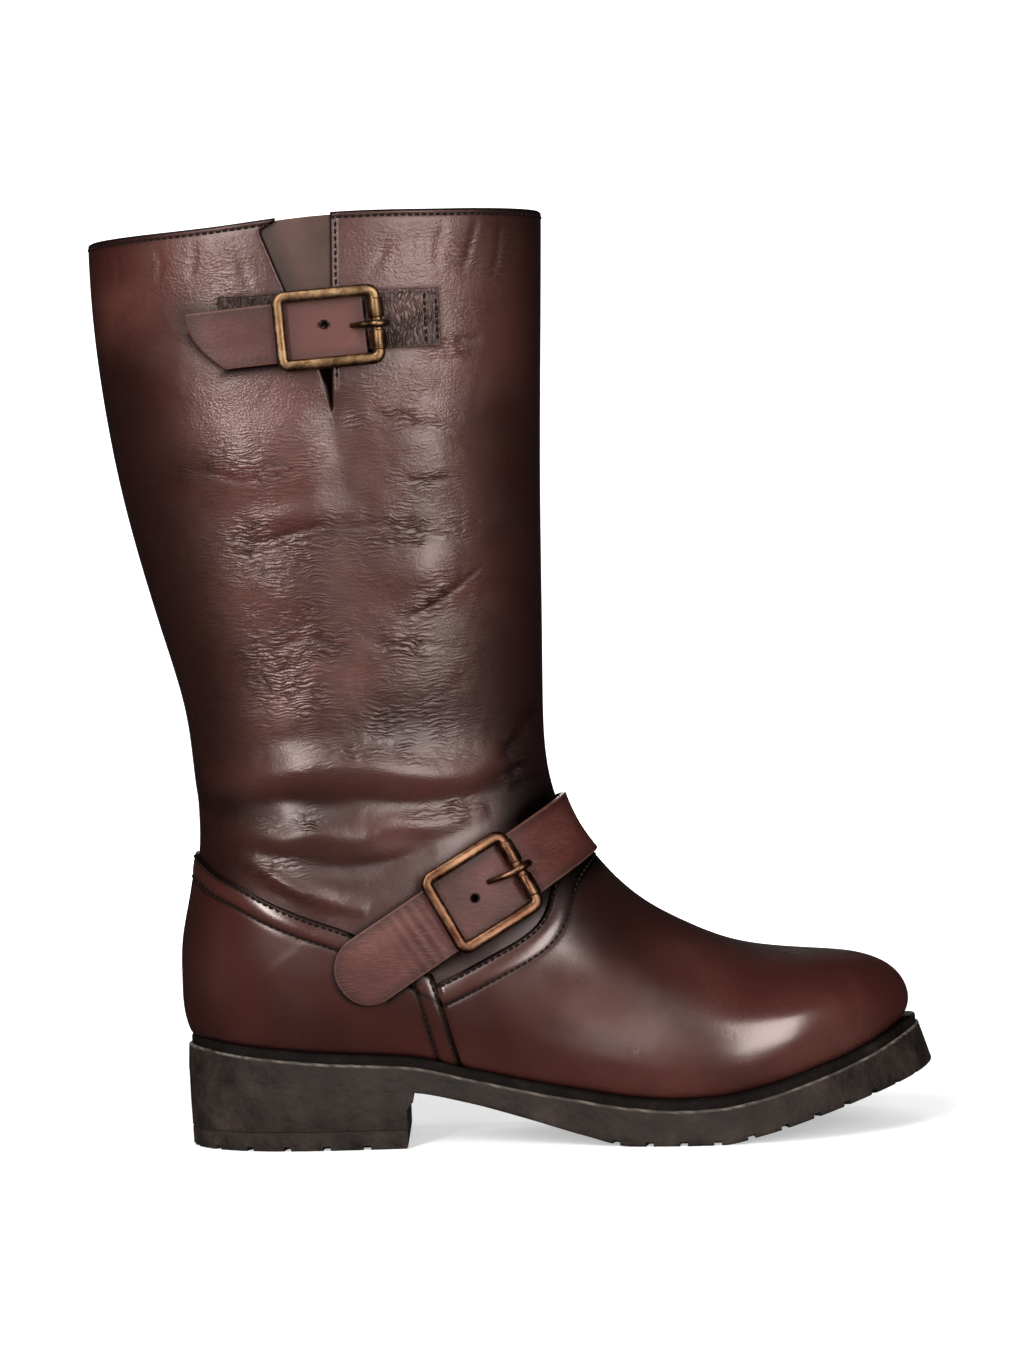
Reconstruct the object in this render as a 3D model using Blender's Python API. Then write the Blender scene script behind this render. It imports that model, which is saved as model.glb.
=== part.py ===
# Mid-calf buckle boot for the right foot: a hollow leather upper on a welted rubber sole.
# Lengths are millimetres until a mesh is made. +X runs to the toe, +Y to the inner side of
# the foot, +Z up; x is counted from the back of the heel, z from the floor.
import math
from collections import namedtuple

import bmesh
import bpy
import numpy as np
from mathutils import Vector
from mathutils.bvhtree import BVHTree

MM = 0.001
GAP = 0.3

# Sole
SOLE_LENGTH = 280.0
HEEL_BREAST = 82.4
BREAST_LIP = 2.4
LIP_BOTTOM = 17.4
LIP_CHAMFER = 2.7
LIFT_HEIGHT = 7.0
HEEL_TAPER = 0.8
WELT_HEIGHT = 3.4
WELT_SETBACK = 1.2
WELT_WIDTH = 13.0
INSOLE_THICKNESS = 3.0
GROOVE_WIDTH = 3.6
GROOVE_DEPTH = 2.2
GROOVE_LENGTH = 130.0
GROOVE_PITCH = 13.2
FIRST_GROOVE = 161.0
GROOVE_COUNT = 9
NOTCH_PITCH = 15.0
NOTCH_REACH = 7.0
SOLE_STATIONS = 30
HEEL_STATIONS = 16

# Upper
WALL = 1.8
OVERLAY = 1.4
OVERLAY_LIFT = 1.7
COLLAR_BACK = 339.2
COLLAR_RISE = 1.45
RIDGE_SHIFT = 4.0
FOOT_ROWS = 22
SHAFT_ROWS = 15
SIDE_COLUMNS = 14
SNAP = 0.03

# Straps and buckles
BASE_STRAP = 1.5
CALF_STRAP = 2.0
ANKLE_STRAP = 2.0
WIRE = 2.1
SLEEVE = 3.0
PRONG = 1.3
PRONG_DIP = 1.2
CALF_PRONG_REACH = 9.0
ANKLE_PRONG_REACH = 11.0

# Plan of the sole: half-widths to the outer and inner side of the foot at each station.
Plan = namedtuple("Plan", "x outer inner")
SOLE_PLAN = (
    Plan(5, 14.0, 14.0),
    Plan(20, 26.5, 26.0),
    Plan(50, 34.0, 33.0),
    Plan(85, 35.0, 32.5),
    Plan(120, 37.5, 30.5),
    Plan(150, 44.0, 34.5),
    Plan(180, 50.5, 43.0),
    Plan(206, 51.5, 50.0),
    Plan(231, 47.0, 51.0),
    Plan(253, 36.0, 44.0),
    Plan(270, 20.0, 30.5),
)
TOE_TIP_Y = 6.0

# Side view of the sole: its underside, its top edge and how far that edge is set in.
Profile = namedtuple("Profile", "x under rim setin")
SOLE_PROFILE = (
    Profile(0, 28.5, 38.6, 0.3),
    Profile(26, 25.0, 35.0, 0.3),
    Profile(50, 23.0, 32.6, 0.3),
    Profile(84, 20.9, 30.2, 0.4),
    Profile(105, 16.5, 25.4, 0.6),
    Profile(128, 9.9, 20.2, 0.7),
    Profile(148, 3.9, 16.6, 0.8),
    Profile(165, 0.0, 14.0, 0.9),
    Profile(182, 0.0, 12.8, 1.0),
    Profile(197, 0.0, 13.4, 1.2),
    Profile(213, 3.0, 16.2, 1.6),
    Profile(233, 8.4, 21.8, 2.4),
    Profile(253, 14.2, 28.2, 3.6),
    Profile(270, 19.0, 35.2, 4.2),
    Profile(280, 22.0, 39.0, 4.4),
)

# How far the upper's lower edge stands in from the sole's outline.
Margin = namedtuple("Margin", "x inset")
FEATHER_MARGIN = (
    Margin(0, 3.2),
    Margin(40, 4.4),
    Margin(100, 5.6),
    Margin(150, 7.4),
    Margin(200, 9.0),
    Margin(250, 11.0),
    Margin(280, 14.0),
)

# Back of the leg, from the sole to above the collar.
Back = namedtuple("Back", "z x")
BACK_LINE = (
    Back(42, 3.2),
    Back(49, 1.2),
    Back(62, 0.4),
    Back(76, 0.9),
    Back(92, 4.0),
    Back(106, 6.4),
    Back(122, 7.3),
    Back(140, 6.0),
    Back(160, 4.0),
    Back(190, -3.4),
    Back(215, -10.2),
    Back(245, -17.2),
    Back(275, -22.2),
    Back(305, -25.4),
    Back(330, -26.5),
    Back(365, -26.2),
)

# Arches of the upper. A station below 1 ends on the sole, above 1 on the back of the leg.
# The arch starts at the top line (x, z); outer and inner are its half-widths at its widest
# line, widest is where along it that line lies, middle its centre line, square its exponent.
Arch = namedtuple("Arch", "station top_x top_z middle outer inner widest square")
ARCHES = (
    Arch(0.00, 266.0, 37.7, 6.0, 0.3, 0.3, 0.74, 2.20),
    Arch(0.05, 270.0, 44.4, 5.8, 10.0, 9.8, 0.72, 2.20),
    Arch(0.10, 268.6, 52.0, 5.4, 20.0, 19.8, 0.70, 2.20),
    Arch(0.15, 262.6, 58.0, 4.8, 29.6, 29.0, 0.70, 2.25),
    Arch(0.20, 252.0, 61.8, 4.0, 37.6, 36.4, 0.70, 2.30),
    Arch(0.25, 238.0, 63.5, 3.0, 43.2, 41.2, 0.72, 2.35),
    Arch(0.30, 221.0, 65.3, 2.0, 46.4, 42.6, 0.74, 2.30),
    Arch(0.35, 204.0, 69.0, 0.8, 46.8, 40.8, 0.76, 2.25),
    Arch(0.40, 188.0, 75.9, -0.5, 44.4, 37.4, 0.78, 2.20),
    Arch(0.45, 174.0, 83.9, -1.5, 40.4, 34.4, 0.78, 2.15),
    Arch(0.50, 162.5, 93.6, -2.2, 37.0, 32.8, 0.76, 2.10),
    Arch(0.55, 154.0, 103.5, -2.4, 35.2, 33.0, 0.74, 2.05),
    Arch(0.60, 148.0, 112.0, -2.2, 34.6, 33.8, 0.72, 2.00),
    Arch(0.65, 144.0, 119.6, -1.8, 34.6, 34.8, 0.70, 2.00),
    Arch(0.70, 141.4, 126.4, -1.4, 34.8, 35.4, 0.68, 2.05),
    Arch(0.80, 138.8, 138.0, -0.8, 35.0, 35.4, 0.65, 2.10),
    Arch(0.90, 137.9, 147.5, -0.3, 35.0, 35.2, 0.62, 2.10),
    Arch(1.00, 137.7, 156.0, 0.0, 35.0, 35.0, 0.60, 2.15),
    Arch(1.20, 138.0, 177.0, 0.0, 35.5, 35.5, 0.57, 2.15),
    Arch(1.40, 138.6, 207.0, 0.0, 36.5, 36.5, 0.54, 2.20),
    Arch(1.60, 139.4, 246.0, 0.0, 39.0, 39.0, 0.52, 2.25),
    Arch(1.80, 141.0, 292.0, 0.0, 43.0, 43.0, 0.51, 2.30),
    Arch(2.00, 142.9, 345.4, 0.0, 46.0, 46.0, 0.50, 2.35),
    Arch(2.06, 143.4, 363.0, 0.0, 46.6, 46.6, 0.50, 2.35),
)
LAST_STATION = 2.05

# Edges seen from the outer side, as (x, z) places on the upper.
Place = namedtuple("Place", "x z")
COLLAR_LINE = (Place(-40, 337.3), Place(-26, 338.1), Place(20, 340.5), Place(62, 344.4), Place(160, 345.1))
VAMP_EDGE = (
    Place(104.0, 20.0),
    Place(94.4, 59.6),
    Place(100.0, 62.6),
    Place(116.8, 70.8),
    Place(131.4, 79.9),
    Place(137.0, 88.0),
    Place(139.0, 96.0),
    Place(149.0, 110.0),
    Place(170.0, 122.0),
)
COUNTER_EDGE = (
    Place(-10, 113.5),
    Place(6, 111.0),
    Place(15, 103.0),
    Place(24, 98.6),
    Place(35, 92.4),
    Place(48, 86.6),
    Place(62, 81.4),
    Place(80, 71.0),
    Place(110, 54.0),
)
SLIT_APEX = Place(64.0, 273.0)
SLIT_FRONT = Place(65.8, 345.0)
SLIT_BACK = Place(38.0, 343.0)
GUSSET_MARGIN = 7.0

# Parts of the side view in which each piece is cut, so that its lines end there.
Region = namedtuple("Region", "x_low x_high z_low z_high")
COLLAR_REGION = Region(-60, 180, 300, 400)
SLIT_REGION = Region(20, 90, 261, 400)
GUSSET_REGION = Region(10, 100, 254, 400)
CALF_REGION = Region(-40, 125, 270, 400)
ANKLE_REGION = Region(0, 300, 30, 150)
OVERLAY_REGION = Region(-40, 300, 0, 130)

# A strap in side view: a place on its centre line, its slope and its half-width.
Band = namedtuple("Band", "x z slope half")
CALF_BAND = Band(63.5, 302.6, math.radians(4.5), 10.8)
CALF_BASE_BAND = Band(64.0, 305.0, math.radians(0.8), 10.5)
ANKLE_BAND = Band(111.6, 93.2, math.radians(32.0), 12.9)
CALF_TIP = -50.0
CALF_TIP_SLANT = 1.15
CALF_END = 13.4
BASE_START = -40.0
BASE_END = 40.0
ANKLE_TIP = -61.0
ANKLE_TIP_ROUND = 10.0
ANKLE_INNER_END = -40.0

# A buckle in side view: centre, slope, outer length along the strap, outer height, corner.
Buckle = namedtuple("Buckle", "x z slope length height corner")
CALF_BUCKLE = Buckle(63.8, 302.6, math.radians(3.7), 38.6, 29.0, 5.0)
ANKLE_BUCKLE = Buckle(111.6, 93.2, math.radians(29.0), 34.5, 34.0, 5.0)

# Rollers on a buckle's front bar, as shares of its straight length.
Roller = namedtuple("Roller", "label start end")
ROLLERS = (Roller("_roller_lower", 0.04, 0.37), Roller("_roller_upper", 0.63, 0.96))

Look = namedtuple("Look", "colour roughness metallic")
LOOKS = {
    "outsole": Look((0.030, 0.021, 0.018), 0.75, 0.0),
    "heel": Look((0.034, 0.024, 0.020), 0.75, 0.0),
    "heel_lift": Look((0.024, 0.018, 0.016), 0.80, 0.0),
    "welt": Look((0.014, 0.010, 0.009), 0.60, 0.0),
    "insole": Look((0.090, 0.060, 0.040), 0.80, 0.0),
    "upper": Look((0.100, 0.028, 0.020), 0.38, 0.0),
    "vamp": Look((0.110, 0.030, 0.021), 0.34, 0.0),
    "counter": Look((0.090, 0.026, 0.019), 0.38, 0.0),
    "gusset": Look((0.046, 0.024, 0.015), 0.55, 0.0),
    "calf_strap_base": Look((0.046, 0.015, 0.012), 0.45, 0.0),
    "calf_strap": Look((0.110, 0.042, 0.028), 0.50, 0.0),
    "ankle_strap": Look((0.105, 0.038, 0.026), 0.50, 0.0),
    "buckle": Look((0.330, 0.210, 0.105), 0.36, 1.0),
}


# Curves through short tables

def column(rows, name):
    return np.array([getattr(row, name) for row in rows], float)


def spline(knots, values, at):
    # Natural cubic spline: smooth in slope and bend.
    step = np.diff(knots)
    slope = np.diff(values) / step
    count = len(knots)
    matrix = np.eye(count)
    right = np.zeros(count)
    for i in range(1, count - 1):
        matrix[i, i - 1:i + 2] = step[i - 1], 2 * (step[i - 1] + step[i]), step[i]
        right[i] = 6 * (slope[i] - slope[i - 1])
    bend = np.linalg.solve(matrix, right)
    at = np.asarray(at, float)
    i = np.clip(np.searchsorted(knots, at) - 1, 0, count - 2)
    near, far = at - knots[i], knots[i + 1] - at
    cubic = (bend[i] * far ** 3 + bend[i + 1] * near ** 3) / (6 * step[i])
    line = (values[i] / step[i] - bend[i] * step[i] / 6) * far
    return cubic + line + (values[i + 1] / step[i] - bend[i + 1] * step[i] / 6) * near


def steady(knots, values, at):
    # Monotone cubic: level stretches of the table stay exactly level.
    step = np.diff(knots)
    slope = np.diff(values) / step
    tangent = np.zeros(len(knots))
    tangent[0], tangent[-1] = slope[0], slope[-1]
    for i in range(1, len(knots) - 1):
        if slope[i - 1] * slope[i] > 0:
            tangent[i] = 2 / (1 / slope[i - 1] + 1 / slope[i])
    at = np.clip(np.asarray(at, float), knots[0], knots[-1])
    i = np.clip(np.searchsorted(knots, at) - 1, 0, len(step) - 1)
    t = (at - knots[i]) / step[i]
    start = values[i] * (1 + 2 * t) * (1 - t) ** 2 + values[i + 1] * t * t * (3 - 2 * t)
    return start + step[i] * (tangent[i] * t * (1 - t) ** 2 + tangent[i + 1] * t * t * (t - 1))


def arch_column(name, station):
    return spline(column(ARCHES, "station"), column(ARCHES, name), station)


def sole_height(name, x):
    return steady(column(SOLE_PROFILE, "x"), column(SOLE_PROFILE, name), x)


def feather_height(x):
    # Height of the upper's lower edge, on top of the welt.
    return sole_height("rim", x) + WELT_HEIGHT + 2 * GAP


def back_x(z):
    return spline(column(BACK_LINE, "z"), column(BACK_LINE, "x"), z)


# Outlines in plan

def sole_outline(samples=480):
    # Closed curve from the toe tip along the outer side to the heel and back.
    corners = [(SOLE_LENGTH, TOE_TIP_Y)]
    corners += [(row.x, -row.outer) for row in reversed(SOLE_PLAN)]
    corners += [(0.0, 0.0)]
    corners += [(row.x, row.inner) for row in SOLE_PLAN]
    points = np.array(corners * 3 + corners[:1])
    run = np.concatenate([[0], np.cumsum(np.linalg.norm(np.diff(points, axis=0), axis=1))])
    turn = len(corners)
    along = np.linspace(run[turn], run[2 * turn], samples, endpoint=False)
    return np.stack([spline(run, points[:, 0], along), spline(run, points[:, 1], along)], axis=1)


def inset(outline, distance):
    # Moves each point of a closed outline inwards by its own distance.
    tangent = np.roll(outline, -1, axis=0) - np.roll(outline, 1, axis=0)
    tangent /= np.linalg.norm(tangent, axis=1)[:, None]
    inward = np.stack([tangent[:, 1], -tangent[:, 0]], axis=1)
    middle = np.array([SOLE_LENGTH / 2, 0.0])
    if np.sum(inward * (middle - outline)) < 0:
        inward = -inward
    return outline + inward * np.asarray(distance)[:, None]


def sides(outline):
    # Splits an outline at its tip and back into two chains that run forwards in x.
    tip, back = int(np.argmax(outline[:, 0])), int(np.argmin(outline[:, 0]))
    ring = np.roll(outline, -tip, axis=0)
    split = (back - tip) % len(outline)
    outer = ring[:split + 1][::-1]
    inner = np.concatenate([ring[split:], ring[:1]])
    return outer, inner


def stations(outline, front=None, count=SOLE_STATIONS):
    # Rows of x, outer y, inner y, close together at the round ends.
    outer, inner = sides(outline)
    first, last = outer[0, 0], outer[-1, 0]
    turn = np.linspace(math.pi, 0, count + 1)
    if front is not None:
        last = front
        turn = np.linspace(math.pi, math.pi / 2, count + 1)
        x = first + (last - first) * (1 + np.cos(turn))
    else:
        x = first + (last - first) * (1 + np.cos(turn)) / 2
    return x, np.interp(x, outer[:, 0], outer[:, 1]), np.interp(x, inner[:, 0], inner[:, 1])


OUTLINE = sole_outline()
RIM_OUTLINE = inset(OUTLINE, sole_height("setin", OUTLINE[:, 0]))
FEATHER_INSET = steady(column(FEATHER_MARGIN, "x"), column(FEATHER_MARGIN, "inset"), OUTLINE[:, 0])
FEATHER = inset(OUTLINE, FEATHER_INSET)
FEATHER_OUTER, FEATHER_INNER = sides(FEATHER)
FEATHER_BACK, FEATHER_TIP = FEATHER_OUTER[0, 0], FEATHER_OUTER[-1, 0]


# The upper's surface

def arch_end(station):
    # Lower end of an arch: x, z and its half-width to each side of the middle.
    if station <= 1:
        x = FEATHER_BACK + (FEATHER_TIP - FEATHER_BACK) * (1 + math.cos(math.pi * station)) / 2
        middle = float(arch_column("middle", station))
        outer = middle - np.interp(x, FEATHER_OUTER[:, 0], FEATHER_OUTER[:, 1])
        inner = np.interp(x, FEATHER_INNER[:, 0], FEATHER_INNER[:, 1]) - middle
        return x, float(feather_height(x)), max(outer, 0.0), max(inner, 0.0)
    low = float(feather_height(FEATHER_BACK))
    z = low + (COLLAR_BACK - low) * (station - 1) ** COLLAR_RISE
    return float(back_x(z)), z, 0.0, 0.0


def arch_point(station, across):
    # Place on the upper: across runs from -1 at the outer end over 0 at the top to 1.
    end_x, end_z, outer, inner = arch_end(station)
    foot = outer if across < 0 else inner
    half = max(float(arch_column("outer" if across < 0 else "inner", station)), 1.02 * foot, 0.01)
    widest = float(arch_column("widest", station))
    power = 2 / float(arch_column("square", station))
    last = math.pi - math.asin(min(foot / half, 1.0) ** (1 / power))
    angle = abs(across) * last
    middle = float(arch_column("middle", station))
    ridge = RIDGE_SHIFT * math.sin(math.pi * station) ** 2 if station < 1 else 0.0
    side = -1 if across < 0 else 1
    reach = abs(math.sin(angle)) ** power
    if angle <= math.pi / 2:
        along = widest * (1 - math.cos(angle) ** power)
        y = middle + ridge + (side * half - ridge) * reach
    else:
        stretch = (1 - widest) / (-math.cos(last)) ** power
        along = widest + stretch * (-math.cos(angle)) ** power
        y = middle + side * half * reach
    top_x, top_z = float(arch_column("top_x", station)), float(arch_column("top_z", station))
    return Vector((top_x + (end_x - top_x) * along, y, top_z + (end_z - top_z) * along))


def upper_sheet():
    # Triangulated outer skin of the upper, with its outward direction stored on each corner.
    foot = np.linspace(0, 1, FOOT_ROWS + 1)[1:]
    shaft = 1 + (LAST_STATION - 1) * np.linspace(0, 1, SHAFT_ROWS + 1)[1:]
    bm = bmesh.new()
    tip = bm.verts.new(arch_point(0.0, 0.0))
    across = np.linspace(-1, 1, 2 * SIDE_COLUMNS + 1)
    previous = [tip] * len(across)
    for station in list(foot) + list(shaft):
        row = [bm.verts.new(arch_point(station, a)) for a in across]
        if station >= 1:
            bm.verts.remove(row[-1])
            row[-1] = row[0]
        for j in range(len(across) - 1):
            corners = [previous[j], previous[j + 1], row[j + 1], row[j]]
            ring = [v for i, v in enumerate(corners) if v is not corners[i - 1]]
            if len(ring) > 2:
                bm.faces.new(ring)
        previous = row
    bmesh.ops.triangulate(bm, faces=bm.faces[:])
    bmesh.ops.recalc_face_normals(bm, faces=bm.faces[:])
    bm.normal_update()
    outward = bm.verts.layers.float_vector.new("outward")
    for vert in bm.verts:
        vert[outward] = vert.normal
    return bm


# Cutting pieces out of the sheet

def score(bm, side, near):
    # Splits the faces near a place along the line where side() is zero.
    outward = bm.verts.layers.float_vector["outward"]
    faces = [f for f in bm.faces if near(f.calc_center_median())]
    verts = {v for f in faces for v in f.verts}
    value = {v: side(v.co) for v in verts}
    value = {v: 0.0 if abs(d) < SNAP else d for v, d in value.items()}
    for edge in {e for f in faces for e in f.edges}:
        a, b = edge.verts
        if value[a] * value[b] < 0:
            t = value[a] / (value[a] - value[b])
            place, lean = a.co.lerp(b.co, t), a[outward].lerp(b[outward], t)
            added = bmesh.utils.edge_split(edge, a, t)[1]
            added.co = place
            added[outward] = lean.normalized()
            value[added] = 0.0
    for face in faces:
        ends = [v for v in face.verts if value.get(v) == 0.0]
        if len(ends) == 2 and not any(set(e.verts) == set(ends) for e in face.edges):
            bmesh.utils.face_split(face, ends[0], ends[1])


def cut_sheet(sheet, lines, near, keep):
    # A copy of the sheet, scored along lines; only faces whose middle passes keep() stay.
    bm = sheet.copy()
    for line in lines:
        score(bm, line, near)
    dropped = [f for f in bm.faces if not keep(f.calc_center_median())]
    bmesh.ops.delete(bm, geom=dropped, context="FACES")
    return bm


def cut_patch(sheet, lines, near):
    # The part of a sheet that lies inside all lines.
    return cut_sheet(sheet, lines, near, lambda p: near(p) and all(line(p) > 0 for line in lines))


def within(region, both_sides=True):
    # Tests a place against a region, on the outer side only if so asked.
    def test(p):
        seen = region.x_low < p.x < region.x_high and region.z_low < p.z < region.z_high
        return seen and (both_sides or outer_side(p))

    return test


def shell(bm, low, high):
    # Closed solid between two heights over a sheet.
    outward = bm.verts.layers.float_vector["outward"]
    solid = bmesh.new()
    under = {v: solid.verts.new(v.co + v[outward] * low) for v in bm.verts}
    over = {v: solid.verts.new(v.co + v[outward] * high) for v in bm.verts}
    for face in bm.faces:
        solid.faces.new([over[v] for v in face.verts])
        solid.faces.new([under[v] for v in reversed(face.verts)])
    for edge in bm.edges:
        if edge.is_boundary:
            a = edge.link_loops[0].vert
            b = edge.other_vert(a)
            solid.faces.new([over[b], over[a], under[a], under[b]])
    return solid


def line_side(start, end):
    # Signed distance in side view: positive on the left of the way from start to end.
    run = math.hypot(end.x - start.x, end.z - start.z)
    across_x, across_z = -(end.z - start.z) / run, (end.x - start.x) / run
    return lambda p: (p.x - start.x) * across_x + (p.z - start.z) * across_z


def below_line(places):
    # Positive below a line given as z over x.
    x, z = column(places, "x"), column(places, "z")
    return lambda p: float(np.interp(p.x, x, z)) - p.z


def ahead_of_line(places):
    # Positive on the toe side of a line given as x over z.
    x, z = column(places, "x"), column(places, "z")
    return lambda p: p.x - float(np.interp(p.z, z, x))


def band_place(band, p):
    # Place in a strap's own side view: along its centre line, and across it upwards.
    dx, dz = p.x - band.x, p.z - band.z
    c, s = math.cos(band.slope), math.sin(band.slope)
    return dx * c + dz * s, dz * c - dx * s


def outer_side(p):
    return p.y < 0


# Making objects

def material(name):
    look = LOOKS[name]
    made = bpy.data.materials.get(name)
    if made:
        return made
    made = bpy.data.materials.new(name)
    made.use_nodes = True
    shader = made.node_tree.nodes["Principled BSDF"]
    shader.inputs["Base Color"].default_value = (*look.colour, 1.0)
    shader.inputs["Roughness"].default_value = look.roughness
    shader.inputs["Metallic"].default_value = look.metallic
    return made


def add_object(name, data, look):
    data.materials.append(material(look))
    made = bpy.data.objects.new(name, data)
    bpy.context.scene.collection.objects.link(made)
    made.parent = ROOT
    return made


def add_solid(name, bm, look=None):
    # Turns a solid in millimetres into a named object in metres.
    bmesh.ops.recalc_face_normals(bm, faces=bm.faces[:])
    bmesh.ops.scale(bm, vec=(MM, MM, MM), verts=bm.verts[:])
    mesh = bpy.data.meshes.new(name)
    bm.to_mesh(mesh)
    bm.free()
    mesh.shade_smooth()
    mesh.set_sharp_from_angle(angle=math.radians(35))
    return add_object(name, mesh, look or name)


def add_wire(name, points, radius, closed):
    # Bent wire through the given places.
    curve = bpy.data.curves.new(name, "CURVE")
    curve.dimensions = "3D"
    curve.bevel_depth = radius * MM
    curve.bevel_resolution = 2
    curve.use_fill_caps = True
    route = curve.splines.new("POLY")
    route.points.add(len(points) - 1)
    for point, place in zip(route.points, points):
        point.co = (*(place * MM), 1.0)
    route.use_cyclic_u = closed
    return add_object(name, curve, "buckle")


def stack(levels):
    # Solid built of levels, top first; each level is a row of x, outer y, inner y and z.
    bm = bmesh.new()
    rows = []
    for x, outer, inner, z in levels:
        row = []
        for k in range(len(x)):
            a = bm.verts.new((x[k], outer[k], z[k]))
            round_end = abs(inner[k] - outer[k]) < 0.01
            row.append((a, a if round_end else bm.verts.new((x[k], inner[k], z[k]))))
        rows.append(row)

    def face(*corners):
        ring = [v for i, v in enumerate(corners) if v is not corners[i - 1]]
        if len(ring) > 2:
            bm.faces.new(ring)

    count = len(rows[0])
    for k in range(count - 1):
        for row, turn in ((rows[0], 1), (rows[-1], -1)):
            corners = [row[k][0], row[k + 1][0], row[k + 1][1], row[k][1]]
            face(*corners[::turn])
        for upper, lower in zip(rows, rows[1:]):
            for side in (0, 1):
                face(upper[k][side], lower[k][side], lower[k + 1][side], upper[k + 1][side])
    for upper, lower in zip(rows, rows[1:]):
        for k in (0, count - 1):
            if upper[k][0] is not upper[k][1]:
                face(upper[k][0], lower[k][0], lower[k][1], upper[k][1])
    return bm


def box(bm, size, place, turn_y=0.0, turn_z=0.0):
    # Adds a turned box to a solid.
    made = bmesh.ops.create_cube(bm, size=1.0)["verts"]
    c, s = math.cos(turn_y), math.sin(turn_y)
    cz, sz = math.cos(turn_z), math.sin(turn_z)
    for vert in made:
        x, y, z = (vert.co[i] * size[i] for i in range(3))
        x, z = x * c + z * s, z * c - x * s
        vert.co = Vector((x * cz - y * sz, x * sz + y * cz, z)) + Vector(place)


def cut_with(target, bm, name):
    # Cuts a hidden set of boxes out of an object.
    cutter = add_solid(name, bm, "outsole")
    cutter.hide_render = True
    cutter.display_type = "WIRE"
    modifier = target.modifiers.new(name, "BOOLEAN")
    modifier.operation = "DIFFERENCE"
    modifier.solver = "EXACT"
    modifier.object = cutter


# Sole pieces

def add_outsole():
    top_x, top_outer, top_inner = stations(RIM_OUTLINE)
    low_x, low_outer, low_inner = stations(OUTLINE)
    levels = (
        (top_x, top_outer, top_inner, sole_height("rim", top_x)),
        (low_x, low_outer, low_inner, sole_height("under", low_x)),
    )
    sole = add_solid("outsole", stack(levels))
    grooves = bmesh.new()
    for i in range(GROOVE_COUNT):
        x = FIRST_GROOVE + i * GROOVE_PITCH
        rise = float(sole_height("under", x + 2) - sole_height("under", x - 2)) / 4
        size = (GROOVE_WIDTH, GROOVE_LENGTH, 2 * GROOVE_DEPTH)
        box(grooves, size, (x, 0, float(sole_height("under", x))), turn_y=-math.atan(rise))
    cut_with(sole, grooves, "tread_grooves")


def heel_level(shrink, front, z):
    # One level of the heel, shrunk in from the sole's outline and cut off at the breast.
    x, outer, inner = stations(inset(OUTLINE, np.full(len(OUTLINE), shrink)), front, HEEL_STATIONS)
    return x, outer, inner, z(x) if callable(z) else np.full(len(x), z)


def add_heel():
    lift_top = LIFT_HEIGHT + GAP
    lip = HEEL_BREAST + BREAST_LIP
    levels = (
        heel_level(0.2, lip, lambda x: sole_height("under", x) - GAP),
        heel_level(0.3, lip, LIP_BOTTOM),
        heel_level(0.4, HEEL_BREAST, LIP_BOTTOM - LIP_CHAMFER),
        heel_level(HEEL_TAPER, HEEL_BREAST, lift_top),
    )
    add_solid("heel", stack(levels))
    lift = add_solid("heel_lift", stack((
        heel_level(HEEL_TAPER, HEEL_BREAST, LIFT_HEIGHT),
        heel_level(HEEL_TAPER + 0.3, HEEL_BREAST, 0.0),
    )))
    notches = bmesh.new()
    edge = OUTLINE[OUTLINE[:, 0] < HEEL_BREAST - NOTCH_PITCH / 2]
    run = np.concatenate([[0], np.cumsum(np.linalg.norm(np.diff(edge, axis=0), axis=1))])
    for at in np.arange(NOTCH_PITCH / 2, run[-1], NOTCH_PITCH):
        x, y = np.interp(at, run, edge[:, 0]), np.interp(at, run, edge[:, 1])
        ahead = np.interp(at + 1, run, edge[:, 0]) - x, np.interp(at + 1, run, edge[:, 1]) - y
        size = (GROOVE_WIDTH, 2 * NOTCH_REACH, 2 * GROOVE_DEPTH)
        box(notches, size, (x, y, 0), turn_z=math.atan2(ahead[1], ahead[0]))
    cut_with(lift, notches, "heel_notches")


def add_welt():
    # Ring from under the upper's edge nearly out to the sole's rim.
    outer = inset(RIM_OUTLINE, np.full(len(RIM_OUTLINE), WELT_SETBACK))
    inner = inset(outer, np.full(len(outer), WELT_WIDTH))
    bm = bmesh.new()
    loops = []
    top = GAP + WELT_HEIGHT
    for outline, raised in ((outer, GAP), (outer, top), (inner, top), (inner, GAP)):
        x, low, high = stations(outline)
        places = list(zip(x, low)) + list(zip(x[-2:0:-1], high[-2:0:-1]))
        loops.append([bm.verts.new((px, py, float(sole_height("rim", px)) + raised)) for px, py in places])
    for i in range(4):
        first, second = loops[i - 1], loops[i]
        for k in range(len(first)):
            bm.faces.new((first[k - 1], first[k], second[k], second[k - 1]))
    add_solid("welt", bm)


def add_insole():
    x, outer, inner = stations(inset(FEATHER, np.full(len(FEATHER), WALL + 1.0)))
    levels = [(x, outer, inner, feather_height(x) + raised) for raised in (INSOLE_THICKNESS, 0.0)]
    add_solid("insole", stack(levels))


# Upper pieces

def above_welt(p):
    return p.z - float(feather_height(p.x)) - OVERLAY_LIFT


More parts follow.
